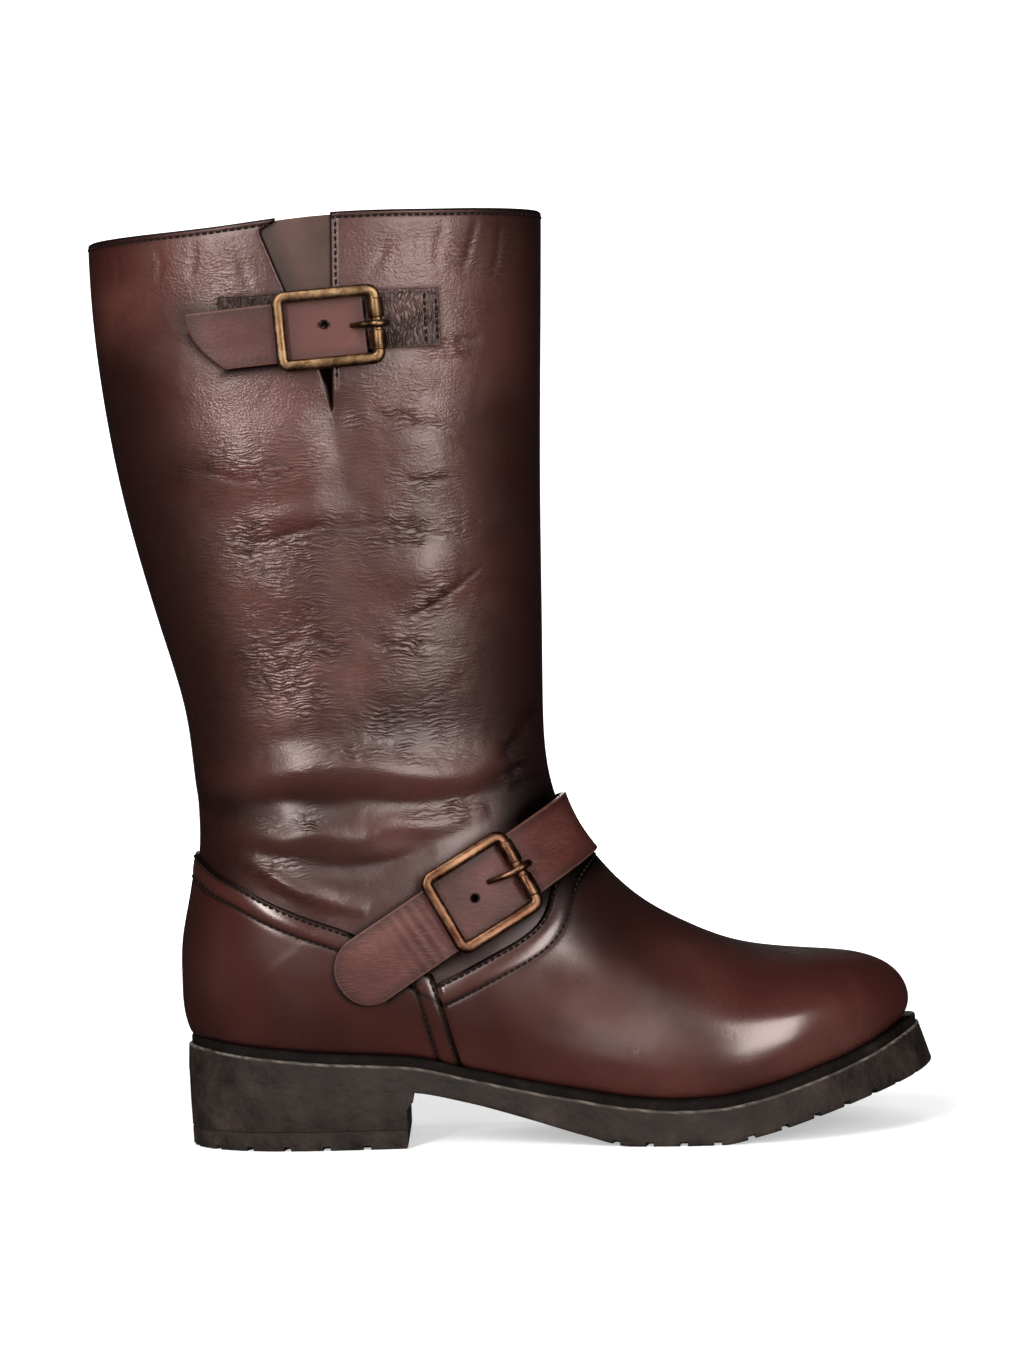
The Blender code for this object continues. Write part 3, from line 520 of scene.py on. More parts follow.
def remap(tree, value, low, high, toLow, toHigh):
    values = {"Value": value, "From Min": low, "From Max": high, "To Min": toLow, "To Max": toHigh}
    return addNode(tree, "ShaderNodeMapRange", values).outputs["Result"]


def blend(tree, factor, first, second):
    values = {0: factor, 6: first, 7: second}
    return addNode(tree, "ShaderNodeMix", values, data_type="RGBA").outputs[2]


def sums(tree, kind, first, second):
    return addNode(tree, "ShaderNodeMath", {0: first, 1: second}, operation=kind).outputs[0]


def attribute(tree, name):
    return addNode(tree, "ShaderNodeAttribute", attribute_name=name).outputs["Fac"]


def vectors(tree, kind, inputs):
    return addNode(tree, "ShaderNodeVectorMath", inputs, operation=kind).outputs[0]


def cells(tree, place, size, sway):
    # soft pads between thin creases, drawn out and bent
    drift = addNode(tree, "ShaderNodeTexNoise", {"Vector": place, "Scale": 140.0, "Detail": 2.0})
    drift = vectors(tree, "SUBTRACT", {0: drift.outputs["Color"], 1: (0.5, 0.5, 0.5)})
    moved = vectors(tree, "ADD", {0: place, 1: vectors(tree, "SCALE", {0: drift, "Scale": sway})})
    drawn = addNode(tree, "ShaderNodeMapping", {"Vector": moved, "Scale": tuple(1 / v for v in size)})
    values = {"Vector": drawn.outputs[0], "Scale": 1.0}
    edge = addNode(tree, "ShaderNodeTexVoronoi", values, feature="DISTANCE_TO_EDGE")
    return remap(tree, edge.outputs["Distance"], 0.0, 0.34, 0.0, 1.0)


# the last colour is the one painted shade blends to
usualLook = {
    "wrinkle": (0.009, 0.009, 0.0014), "pebbleCell": (0.0017, 0.0017, 0.0013), "pebble": 0.05, "swell": 0.0,
    "tint": (1.0, 0.85, 0.81), "shadow": (0.004, 0.0022, 0.0018),
}


def leather(name, look):
    look = dict(usualLook, **look)
    made, tree, shader = startMaterial(name)
    place = addNode(tree, "ShaderNodeTexCoord").outputs["Object"]
    blotch = noise(tree, place, look["blotch"], 3.0, 0.5, warp=0.4)
    colour = ramp(tree, blotch, [(0.30, look["dark"]), (0.52, look["mid"]), (0.74, look["light"])])
    speck = noise(tree, place, 700.0, 3.0, 0.6)
    colour = blend(tree, remap(tree, speck, 0.35, 0.75, 0.0, 0.30), colour, (*look["dark"], 1))
    # painted shade, and the darker strap edges, blend towards a darker tone here
    colour = blend(tree, attribute(tree, "burnish"), colour, (*look["shadedTone"], 1))
    # wear and painted highlight blend to the light tone
    colour = blend(tree, attribute(tree, "wearAndSheen"), colour, (*look["light"], 1))
    pads = cells(tree, place, look["wrinkle"], 0.0045)
    broken = remap(tree, noise(tree, place, 75.0, 2.0), 0.38, 0.60, 0.25, 1.0)
    crinkled = sums(tree, "MULTIPLY", broken, attribute(tree, "crinkle"))
    # painted shade in the fine creases
    creaseShade = sums(tree, "MULTIPLY", remap(tree, pads, 0.0, 0.55, 0.6, 0.0), crinkled)
    grime = sums(tree, "MAXIMUM", attribute(tree, "grime"), creaseShade)
    colour = blend(tree, grime, colour, (*look["shadow"], 1))
    tree.links.new(colour, shader.inputs["Base Color"])
    rough = remap(tree, noise(tree, place, 55.0, 2.0, 0.4), 0.2, 0.8, *look["rough"])
    # the painted shade is rougher and loses its gloss and its coat
    rough = sums(tree, "ADD", rough, sums(tree, "MULTIPLY", grime, 0.2))
    tree.links.new(grime, shader.inputs["Metallic"])  # takes the gloss out of the crevices
    tree.links.new(rough, shader.inputs["Roughness"])
    shader.inputs["Specular IOR Level"].default_value = look["specular"]
    shader.inputs["Specular Tint"].default_value = (*look["tint"], 1)
    if look["coat"] > 0:
        clean = sums(tree, "SUBTRACT", 1.0, grime)
        tree.links.new(sums(tree, "MULTIPLY", clean, look["coat"]), shader.inputs["Coat Weight"])
    shader.inputs["Coat Roughness"].default_value = look["coatRough"]
    pebbles = cells(tree, place, look["pebbleCell"], 0.003)
    layers = {
        "pores": noise(tree, place, 900.0, 2.0, 0.5),
        "lumps": noise(tree, place, 110.0, 3.0, 0.5),
        "crinkle": sums(tree, "MULTIPLY", pads, crinkled),
        "pebble": sums(tree, "MULTIPLY", pebbles, attribute(tree, "pebble")),
        "swell": noise(tree, place, 48.0, 2.0, 0.5, warp=0.3),
    }
    height = 0.0
    for layer, relief in layers.items():
        height = sums(tree, "ADD", height, sums(tree, "MULTIPLY", relief, look[layer]))
    bump = addNode(tree, "ShaderNodeBump", {"Height": height, "Strength": 1.0, "Distance": 0.001})
    tree.links.new(bump.outputs[0], shader.inputs["Normal"])
    tree.links.new(bump.outputs[0], shader.inputs["Coat Normal"])
    return made


shaftLook = {
    "dark": (0.018, 0.0043, 0.0033), "mid": (0.043, 0.0104, 0.0076), "light": (0.092, 0.0310, 0.0228),
    "shadedTone": (0.0105, 0.0032, 0.0027), "blotch": 16.0, "rough": (0.28, 0.40), "specular": 0.60,
    "coat": 0.10, "coatRough": 0.22, "pores": 0.04, "lumps": 0.14, "crinkle": 0.22, "swell": 0.55,
}
vampLook = {
    "dark": (0.021, 0.0054, 0.0042), "mid": (0.043, 0.0104, 0.0077), "light": (0.076, 0.0255, 0.0190),
    "shadedTone": (0.013, 0.0042, 0.0035), "blotch": 13.0, "rough": (0.20, 0.29), "specular": 0.84,
    "coat": 0.10, "coatRough": 0.14, "pores": 0.02, "lumps": 0.05, "crinkle": 0.2, "swell": 0.12,
}
strapLook = {
    "dark": (0.038, 0.0088, 0.0066), "mid": (0.070, 0.0176, 0.0132), "light": (0.124, 0.0480, 0.0365),
    "shadedTone": (0.020, 0.0070, 0.0058), "blotch": 30.0, "rough": (0.42, 0.56), "specular": 0.34,
    "coat": 0.06, "coatRough": 0.30, "pores": 0.10, "lumps": 0.16, "crinkle": 0.2,
}
tabLook = {
    "dark": (0.018, 0.0088, 0.0076), "mid": (0.062, 0.0285, 0.0245), "light": (0.140, 0.0760, 0.0650),
    "shadedTone": (0.012, 0.0060, 0.0055), "blotch": 60.0, "rough": (0.34, 0.48), "specular": 0.42,
    "coat": 0.12, "coatRough": 0.25, "pores": 0.08, "lumps": 0.25, "crinkle": 0.30,
    "wrinkle": (0.0012, 0.0012, 0.006),
}
gussetLook = {
    "dark": (0.030, 0.0140, 0.0102), "mid": (0.052, 0.0245, 0.0182), "light": (0.078, 0.0400, 0.0305),
    "shadedTone": (0.010, 0.0050, 0.0040), "blotch": 40.0, "rough": (0.42, 0.52), "specular": 0.32,
    "coat": 0.05, "coatRough": 0.30, "pores": 0.04, "lumps": 0.06, "crinkle": 0.1,
}
liningLook = {
    "dark": (0.040, 0.0220, 0.0150), "mid": (0.085, 0.0500, 0.0340), "light": (0.150, 0.095, 0.066),
    "shadedTone": (0.025, 0.0140, 0.0100), "blotch": 20.0, "rough": (0.60, 0.75), "specular": 0.25,
    "coat": 0.0, "coatRough": 0.30, "pores": 0.10, "lumps": 0.10, "crinkle": 0.1,
}
shaftLeather = leather("shaft leather", shaftLook)
vampLeather = leather("vamp leather", vampLook)
strapLeather = leather("strap leather", strapLook)
tabLeather = leather("tab leather", tabLook)
gussetLeather = leather("gusset leather", gussetLook)
liningLeather = leather("lining leather", liningLook)


def plain(name, look):
    # rubber, thread, cut edges: two tones, a rough bump, and scuffs with painted glints
    made, tree, shader = startMaterial(name)
    place = addNode(tree, "ShaderNodeTexCoord").outputs["Object"]
    patchy = noise(tree, place, look["scale"], 6.0, 0.65, stretch=look.get("stretch"))
    colour = ramp(tree, patchy, [(0.34, look["dark"]), (0.56, look["mid"]), (0.78, look["light"])])
    if look.get("scuffAndGlint"):
        colour = blend(tree, attribute(tree, "wearAndSheen"), colour, (*look["scuffAndGlint"], 1))
    tree.links.new(colour, shader.inputs["Base Color"])
    rough = remap(tree, noise(tree, place, look["scale"] * 2, 4.0), 0.3, 0.7, *look["rough"])
    tree.links.new(rough, shader.inputs["Roughness"])
    shader.inputs["Specular IOR Level"].default_value = look["specular"]
    shader.inputs["Metallic"].default_value = look.get("metal", 0.0)
    height = noise(tree, place, look["grain"], 5.0, 0.6)
    bump = addNode(tree, "ShaderNodeBump", {"Height": height, "Strength": 1.0, "Distance": look["depth"]})
    tree.links.new(bump.outputs[0], shader.inputs["Normal"])
    return made


rubberLook = {
    "dark": (0.009, 0.0056, 0.0043), "mid": (0.021, 0.0132, 0.0100), "light": (0.044, 0.0300, 0.0230),
    "scuffAndGlint": (0.200, 0.168, 0.140), "scale": 75.0, "rough": (0.58, 0.80), "specular": 0.24, "grain": 300.0,
    "depth": 0.0010,
}
weltLook = {
    "dark": (0.0035, 0.0026, 0.0022), "mid": (0.007, 0.0050, 0.0042), "light": (0.020, 0.0145, 0.0120),
    "scale": 90.0, "rough": (0.66, 0.84), "specular": 0.06, "grain": 260.0, "depth": 0.0012,
}
threadLook = {
    "dark": (0.005, 0.0035, 0.0032), "mid": (0.010, 0.0065, 0.0055), "light": (0.022, 0.0140, 0.0120),
    "scale": 700.0, "rough": (0.70, 0.85), "specular": 0.10, "grain": 2500.0, "depth": 0.0001,
}
edgeLook = {
    "dark": (0.060, 0.0260, 0.0190), "mid": (0.130, 0.0640, 0.0460), "light": (0.210, 0.1150, 0.0850),
    "scale": 160.0, "rough": (0.45, 0.60), "specular": 0.35, "grain": 900.0, "depth": 0.0002,
}
brassLook = {
    "dark": (0.070, 0.0380, 0.0190), "mid": (0.195, 0.1120, 0.0560), "light": (0.400, 0.2800, 0.1600),
    "scale": 120.0, "rough": (0.28, 0.46), "specular": 0.5, "grain": 380.0, "depth": 0.00012, "metal": 1.0,
}
copperLook = {
    **brassLook,
    "dark": (0.060, 0.0220, 0.0110), "mid": (0.152, 0.0750, 0.0420), "light": (0.340, 0.1850, 0.1050),
}
boardLook = {
    "dark": (0.050, 0.0320, 0.0220), "mid": (0.090, 0.0600, 0.0400), "light": (0.130, 0.0900, 0.0620),
    "scale": 80.0, "rough": (0.70, 0.85), "specular": 0.25, "grain": 600.0, "depth": 0.0003,
}
rubber = plain("sole rubber", rubberLook)
weltRubber = plain("welt", weltLook)
thread = plain("thread", threadLook)
cutEdge = plain("cut edge", edgeLook)
brass = plain("brass", brassLook)
copper = plain("copper brass", copperLook)
board = plain("insole board", boardLook)
print("materials ready")


# creases, placed one by one on the shoe

creaseLook = {"step": 2.0, "farthest": 22.0, "taper": 0.6, "crinkleReach": 4.0}
folds = [
    # height, width, side (-1 outer, 1 inner, 0 both), crinkle beside it, line of (x, z) places
    (-0.65, 1.2, -1, 0.4, [(23, 227), (32, 225), (40, 226), (51, 229), (60, 230.5), (66, 229.6)]),
    (-0.35, 1.2, -1, 0.4, [(66, 229.5), (73, 229.8), (78, 230.4), (91, 227.8), (102, 224.9), (112, 223.4)]),
    (-0.35, 1.0, -1, 0.4, [(22, 222.4), (34, 221.6), (41, 223.9), (50, 225.4), (61, 228)]),
    (0.35, 1.0, -1, 0.4, [(24, 224.6), (33, 223.2), (41, 224.6), (51, 227.2)]),
    (0.7, 4.5, -1, 0.0, [(30, 232.5), (45, 234.5), (60, 236.5), (75, 235)]),
    (-0.4, 1.0, -1, 0.4, [(86, 195.7), (93.5, 198), (101, 202.2), (110, 208.8), (117.5, 214.8)]),
    (0.3, 1.8, -1, 0.4, [(86, 199), (93, 201.4), (100, 205.4), (109, 212)]),
    (-0.32, 1.1, -1, 0.4, [
        (26, 179.7), (35, 184.2), (43.6, 187.6), (51, 189.9), (60, 188.1), (68, 191.2), (70.6, 192.3),
    ]),
    (-0.32, 1.1, -1, 0.4, [(70.6, 192.3), (75.5, 188), (82, 185.9), (96.7, 185.8), (109.4, 181.4)]),
    (-0.3, 1.1, -1, 0.4, [(28.4, 171.5), (39.6, 176.3), (48.9, 180.4), (57, 183.5), (63.8, 186.9)]),
    (-0.32, 1.1, -1, 0.4, [(29, 161.8), (34.2, 164.6), (41.1, 168.6), (50.4, 173)]),
    (-0.28, 1.1, -1, 0.4, [
        (2, 255.6), (9.3, 252.8), (16.6, 252.5), (29.3, 248.5), (40.3, 248.8), (58.7, 253),
    ]),
    (-0.28, 1.1, -1, 0.4, [(74.7, 271.8), (84.9, 270), (95.8, 266.7), (108.5, 263.4)]),
    (-0.35, 1.5, -1, 0.4, [(88, 246.5), (97, 245.5), (106, 246.7)]),
    (-0.4, 1.4, -1, 0.4, [(103.4, 297.2), (111.4, 296.5), (119.5, 297.7)]),
    (-0.35, 1.2, -1, 0.4, [(104, 293.8), (113, 293)]),
    (2.6, 7.0, 0, 0.0, [
        (10, 137), (33.5, 139.5), (43.8, 141), (58.6, 142.2), (73.3, 141.4), (87.8, 139), (98.8, 137.4),
        (111.7, 138), (124, 141.5),
    ]),
    (-1.4, 5.0, 0, 0.0, [
        (6, 131), (25, 128.5), (40, 130), (55, 127.6), (69, 129.4), (86, 127.6), (106, 129), (121, 132),
        (131, 137),
    ]),
    (1.4, 4.2, 0, 0.0, [(16, 119.5), (28, 118), (40, 116), (52, 117.4), (64, 115.6), (76, 116.4)]),
    (1.1, 4.4, 0, 0.0, [(72, 118.6), (84, 120), (96, 119), (106, 121.6), (116, 124)]),
    (-0.9, 3.2, 0, 0.0, [(30, 111), (46, 107.5), (65, 105), (83, 107), (96, 110)]),
    (1.5, 2.8, 0, 0.4, [(22, 110), (32, 104.8), (42, 98.8), (53, 94), (62, 90.8), (71, 89.2)]),
    (-0.7, 2.2, -1, 0.4, [(121, 142), (126.6, 148), (132.4, 156), (136.7, 164)]),
    (-0.7, 1.5, 0, 0.4, [(119, 136.6), (125, 137.8), (131, 139.8), (137, 141)]),
    (-0.5, 1.3, 0, 0.4, [(124, 131), (131, 133.5), (138, 136.2)]),
    (-1.1, 11.0, 0, 0.0, [(150, 84), (160, 72), (172, 58), (184, 45), (196, 33), (206, 22)]),
    (-0.5, 2.0, 1, 0.4, [(24, 176), (40, 181), (56, 186), (80, 188), (104, 182)]),
    (-0.7, 2.4, 1, 0.4, [(20, 222), (42, 226), (64, 229), (90, 226), (112, 222)]),
    (0.8, 5.0, 1, 0.0, [(30, 230), (60, 235), (90, 232)]),
    (-0.32, 1.0, -1, 0.1, [(-14.5, 334), (-13, 327), (-14, 320)]),
    (-0.32, 1.0, -1, 0.1, [(1, 335), (3, 328), (1.6, 321)]),
    (-0.36, 1.0, -1, 0.1, [(15.8, 336), (15.4, 329), (13.6, 322)]),
    (-0.34, 1.0, -1, 0.1, [(24.6, 337), (26.4, 331), (28.6, 324)]),
    (-0.36, 1.1, -1, 0.1, [(31.5, 333), (33, 325), (36.4, 315)]),
    (-0.34, 1.0, -1, 0.1, [(86.4, 334), (83.8, 328), (79.4, 320)]),
    (-0.3, 1.0, -1, 0.1, [(96.6, 340), (94.8, 334), (94.6, 326)]),
    (-0.36, 1.1, -1, 0.1, [(107, 341), (105, 333), (103.6, 322)]),
    (-0.4, 1.1, -1, 0.1, [(119, 342), (116.8, 333), (113, 321)]),
    (-0.4, 1.1, -1, 0.1, [(127.4, 342), (126.6, 332), (123.8, 319)]),
]
bulges = [
    # x, z, reach along x, reach along z, height, side
    (34, 256, 24, 16, 2.0, -1),
    (100, 257, 15, 18, 1.3, -1),
    (97, 213, 15, 10, 1.6, -1),
    (40, 208, 22, 12, 1.0, -1),
    (64, 270, 7, 9, -1.2, -1),
    (68, 247, 8, 20, -0.9, -1),
    (100, 158, 20, 10, 0.2, -1),
    (48, 160, 24, 9, 0.7, -1),
    (88, 155, 34, 13, -1.6, -1),
    (60, 250, 34, 18, 1.1, 1),
    (70, 205, 34, 14, 0.9, 1),
]
wrinkled = [
    # x, z, reach along x, reach along z, strength
    (120, 323, 12, 18, 0.5), (88, 269, 19, 4, 0.9), (46, 228, 19, 5, 1.0), (90, 228, 17, 5, 0.9),
    (42, 214, 15, 6, 0.6), (48, 188, 17, 6, 0.9), (90, 185, 16, 4, 0.7), (44, 169, 14, 8, 1.0),
    (87, 158, 23, 6, 0.5), (75, 146, 33, 6, 0.55), (43, 122, 17, 4, 1.0), (108, 124, 8, 5, 0.9),
    (39, 105, 15, 4, 0.8), (95, 246, 12, 3, 0.7), (128, 148, 7, 13, 0.8), (45, 201, 13, 5, 0.5),
    (96, 122, 11, 5, 0.5), (22, 252, 18, 4, 0.5), (106, 295, 10, 5, 0.8), (66, 200, 60, 62, 0.34),
    (36, 262, 26, 10, 0.4), (86, 280, 22, 8, 0.4), (18, 322, 22, 12, 0.3), (92, 326, 20, 14, 0.3),
]
pebbled = [
    # the same columns
    (13, 325, 26, 12, 0.9), (87, 329, 22, 13, 0.9), (37, 274, 26, 13, 1.0), (93, 279, 16, 13, 0.8),
    (118, 310, 18, 30, 0.7), (60, 215, 66, 75, 0.3),
]


def sideWeight(points, side):
    if side == 0:
        return np.ones(len(points))
    return softStep(side * points[:, 1], -2.0, 8.0)


def creaseParts(points):
    # height of the folds, and where the leather is crinkled or pebbled
    relief, crinkle, pebble = (np.zeros(len(points)) for _ in range(3))
    x, z = points[:, 0], points[:, 2]
    for height, width, side, beside, places in folds:
        line = smoothLine(places, creaseLook["step"])
        low, high = line.min(axis=0) - creaseLook["farthest"], line.max(axis=0) + creaseLook["farthest"]
        near = (x > low[0]) & (x < high[0]) & (z > low[1]) & (z < high[1])
        if not near.any():
            continue
        square, share, _ = nearestOn(line, points[near][:, [0, 2]])
        fade = np.sin(np.pi * np.clip(share, 0.0, 1.0)) ** creaseLook["taper"]
        weight = fade * sideWeight(points[near], side)
        relief[near] += height * weight * np.exp(-square / width ** 2)
        crinkle[near] += beside * weight * np.exp(-square / creaseLook["crinkleReach"] ** 2)
    for bx, bz, reachX, reachZ, height, side in bulges:
        relief += height * spot(points, bx, bz, reachX, reachZ) * sideWeight(points, side)
    for field, patches in ((crinkle, wrinkled), (pebble, pebbled)):
        for bx, bz, reachX, reachZ, strength in patches:
            field += strength * np.exp(-((x - bx) / reachX) ** 4 - ((z - bz) / reachZ) ** 4)
    return relief, crinkle, pebble


# the shaft

shaftPiece = {
    "collar": [
        (-60, 336.6), (-40, 337.3), (-26, 338.1), (20, 340.5), (62, 344.4), (110, 345.0), (190, 345.2),
    ],
    "slitFront": [(63.6, 250.0), (64.0, 273.0), (65.8, 345.0), (66.5, 370.0)],
    "slitBack": [
        (72.6, 250.0), (64.0, 273.0), (60.6, 287.0), (47.5, 319.0), (39.8, 338.5), (45.5, 341.6),
        (48.0, 360.0),
    ],
    "tuck": 7.0,
    "stitchRow": 2.1,
    "slitRow": 1.9,
    "rowWidth": 0.6,
    "rowDepth": 0.3,
    "rowCuts": (-0.7, 0.0, 0.7),
    "edgeCuts": (0.5, 1.1),
    "edgeRound": 1.1,
}
liningPiece = {"rows": (90, 70, 40, 36), "collarSetback": 0.6, "slitSetback": 3.0, "clearance": 0.1}
vampPiece = {
    "edge": [
        (95.0, 61.2), (100.0, 63.4), (116.8, 71.6), (126.0, 76.4), (131.4, 80.2), (135.4, 85.4),
        (137.4, 91.0), (139.0, 97.0), (143.6, 104.4), (151.0, 112.0), (170.0, 124.0),
    ],
    "edgeRow": 1.5,
    "secondRow": 8.6,
    "thickness": 1.4,
}
counterPiece = {
    "top": [
        (-14, 113.6), (-2, 112.6), (6, 110.6), (11, 106.6), (16, 102.8), (24, 98.8), (35, 92.6), (48, 86.8),
        (62, 81.6), (80, 72.0), (98, 62.0), (112, 55.0),
    ],
    "front": [(90.0, 78.0), (92.6, 66.0), (95.2, 58.0), (99.2, 44.0), (103.4, 29.0), (106.0, 18.0)],
    "edgeRow": 1.5,
    "secondRow": 7.8,
    "thickness": 1.4,
    "overlap": 0.5,
}
calfBand = {
    "x": 63.5, "z": 302.6, "slope": 4.5, "half": 10.8, "tip": -50.0, "slant": 1.15, "end": 13.4,
    "calm": (12.0, 20.0), "calmFrom": -56.0, "calmTo": 46.0,
}
baseBand = {"x": 64.0, "z": 305.0, "slope": 0.8, "half": 10.5, "start": -40.0, "end": 40.0}
calfHoles = [(62.3, 303.8, 1.4)]
ankleHoles = [(109.6, 91.6, 1.4)]
ankleBand = {
    "x": 111.6, "z": 93.2, "slope": 32.0, "half": 12.9, "tip": -61.0, "round": 12.6, "innerEnd": -40.0,
    "calm": (13.0, 19.0), "calmFrom": -64.0, "calmTo": 400.0,
}


def bandPlace(band, points):
    c, s = math.cos(math.radians(band["slope"])), math.sin(math.radians(band["slope"]))
    dx, dz = points[:, 0] - band["x"], points[:, 2] - band["z"]
    return dx * c + dz * s, dz * c - dx * s


def calmUnder(band, points):
    along, across = bandPlace(band, points)
    beside = softStep(np.abs(across), *band["calm"])
    return np.where((along > band["calmFrom"]) & (along < band["calmTo"]), beside, 1.0)


def reliefOf(points):
    # folds die out under straps so that nothing pokes through
    relief, crinkle, pebble = creaseParts(points)
    calf = np.where(points[:, 1] < 0, calmUnder(calfBand, points), 1.0)
    return relief * calf * calmUnder(ankleBand, points), crinkle, pebble


vampLine = smoothLine(vampPiece["edge"])
counterLine = smoothLine(counterPiece["top"])
frontLine = smoothLine(counterPiece["front"])
collarLine = smoothLine(shaftPiece["collar"], 3.0)
sheet = baseSheet(upper["footRows"], upper["shaftRows"], upper["outerColumns"], upper["innerColumns"])
print("base sheet", len(sheet["quads"]), "faces")
threadRuns = []


def noteRow(patch, top, name, level, region=None):
    # remembers a row of stitches along a scored line
    over = patch["points"] + patch["outward"] * np.broadcast_to(top, len(patch["points"]))[:, None]
    for run in chains(patch, name, level):
        if region is not None:
            run = [i for i in run if region(patch["points"][i])]
        if len(run) > 6:
            threadRuns.append((over[run], patch["outward"][run]))


shaftShading = {
    # x where the front turns dark with painted shade, and how dark
    "front": (100, 134), "frontShade": 0.92,
    # reach of the painted shade at the back, wider round a height, and paler again towards the collar
    "rearReach": 40, "rearWider": 12, "rearHeight": 215, "rearSpread": 45,
    "rearShade": 0.9, "collarPaler": 0.75, "collarFade": (285, 320),
    # painted shade towards the ankle
    "ankleFade": (95, 150), "ankleShade": 0.25,
    # x, z, reach along x and z of the painted shade in the crook of the ankle
    "crook": (129, 127, 13, 13), "crookShade": 0.6,
    # z above which the pebbled places are made paler
    "paleFrom": (240, 270), "pale": 0.5,
}


def shaftShade(points):
    # painted shade towards the front, the back and the ankle
    x, y, z = points.T
    front = softStep(x, *shaftShading["front"]) * shaftShading["frontShade"]
    back = spline(column(upper["back"], 0), column(upper["back"], 1), np.clip(z, 42, 360))
    wider = dip(z, shaftShading["rearHeight"], shaftShading["rearSpread"])
    reach = shaftShading["rearReach"] + shaftShading["rearWider"] * wider
    shade = shaftShading["rearShade"] - shaftShading["collarPaler"] * softStep(z, *shaftShading["collarFade"])
    rear = (1 - softStep((x - back) / reach, 0.2, 1.0)) * shade
    low = (1 - softStep(z, *shaftShading["ankleFade"])) * shaftShading["ankleShade"]
    return np.maximum(np.maximum(front, rear), low)


def holeField(points, holes):
    gap = np.full(len(points), 50.0)
    for x, z, radius in holes:
        gap = np.minimum(gap, np.hypot(points[:, 0] - x, points[:, 2] - z) - radius)
    return np.where(points[:, 1] < 0, gap, 50.0)


def calfGap(points):
    # distance inside the outline of the free calf strap
    along, across = bandPlace(calfBand, points)
    half = calfBand["half"]
    drop = np.clip((half - across) / (2 * half), 0, 1)
    tip = (along - calfBand["tip"] - half * drop ** 2.2 * calfBand["slant"]) * 0.86
    return np.minimum(np.minimum(half - np.abs(across), tip), calfBand["end"] - along)


def baseGap(points):
    along, across = bandPlace(baseBand, points)
    ends = np.minimum(along - baseBand["start"], baseBand["end"] - along)
    return np.minimum(baseBand["half"] - np.abs(across), ends)


def ankleGap(points):
    along, across = bandPlace(ankleBand, points)
    half, corner = ankleBand["half"], ankleBand["round"]
    over = np.maximum(np.abs(across) - half + corner, 0)
    rounding = corner - np.sqrt(np.maximum(corner ** 2 - over ** 2, 0))
    tip = np.where(points[:, 1] < 0, along - ankleBand["tip"] - rounding, along - ankleBand["innerEnd"])
    return np.minimum(half - np.abs(across), tip)


# painted shadows along the strap edges and painted shade round the holes
strapShadow = {
    "calfReach": (0.2, 5.0), "calfBelow": 0.95, "calfAbove": 0.4, "calfSplit": 4.0,
    "tabReach": (0.1, 1.8), "tab": 0.6,
    "ankleNear": 3.0, "ankleMoreBelow": 8.0, "ankleMoreAbove": 5.0, "ankleWidens": (92, 110),
    "ankleBelow": 0.85, "ankleAbove": 0.6,
    "holeReach": (1.0, 3.0),
}


def underStraps(points):
    # painted shadow along the edges of the straps, more below than above, and painted shade round the holes
    shadow, outer = strapShadow, points[:, 1] < 0
    below = bandPlace(calfBand, points)[1] < shadow["calfSplit"]
    calf = np.where(below, shadow["calfBelow"], shadow["calfAbove"])
    calf *= 1 - softStep(-calfGap(points), *shadow["calfReach"])
    tab = shadow["tab"] * (1 - softStep(-baseGap(points), *shadow["tabReach"]))
    below = bandPlace(ankleBand, points)[1] < 0
    more = np.where(below, shadow["ankleMoreBelow"], shadow["ankleMoreAbove"])
    reach = shadow["ankleNear"] + more * softStep(points[:, 0], *shadow["ankleWidens"])
    ankle = np.where(below, shadow["ankleBelow"], shadow["ankleAbove"])
    ankle *= 1 - softStep(-ankleGap(points) / reach, 0.07, 1.0)
    holes = 1 - softStep(holeField(points, calfHoles + ankleHoles), *shadow["holeReach"])
    return np.where(outer, np.maximum(calf, tab), 0.0) + ankle + holes


def overlayGap(points):
    # distance outside vamp and counter, which lie low on the boot
    gap = np.full(len(points), 50.0)
    low = points[:, 2] < 150
    gap[low] = np.minimum(lineDistance(vampLine, points[low]), lineDistance(counterLine, points[low]))
    return gap


def slitFields(points):
    # distance outside the slit, and distance from its front edge
    near = (points[:, 1] < 0) & (points[:, 2] > 255) & (points[:, 0] > 15) & (points[:, 0] < 100)
    front = lineDistance(smoothLine(shaftPiece["slitFront"], 4.0), points[near])
    back = -lineDistance(np.array(shaftPiece["slitBack"], float), points[near])
    slit, row = np.full(len(points), 40.0), np.where(points[:, 0] < 60, -40.0, 40.0)
    slit[near], row[near] = -np.minimum(front, back), -front
    return slit, row


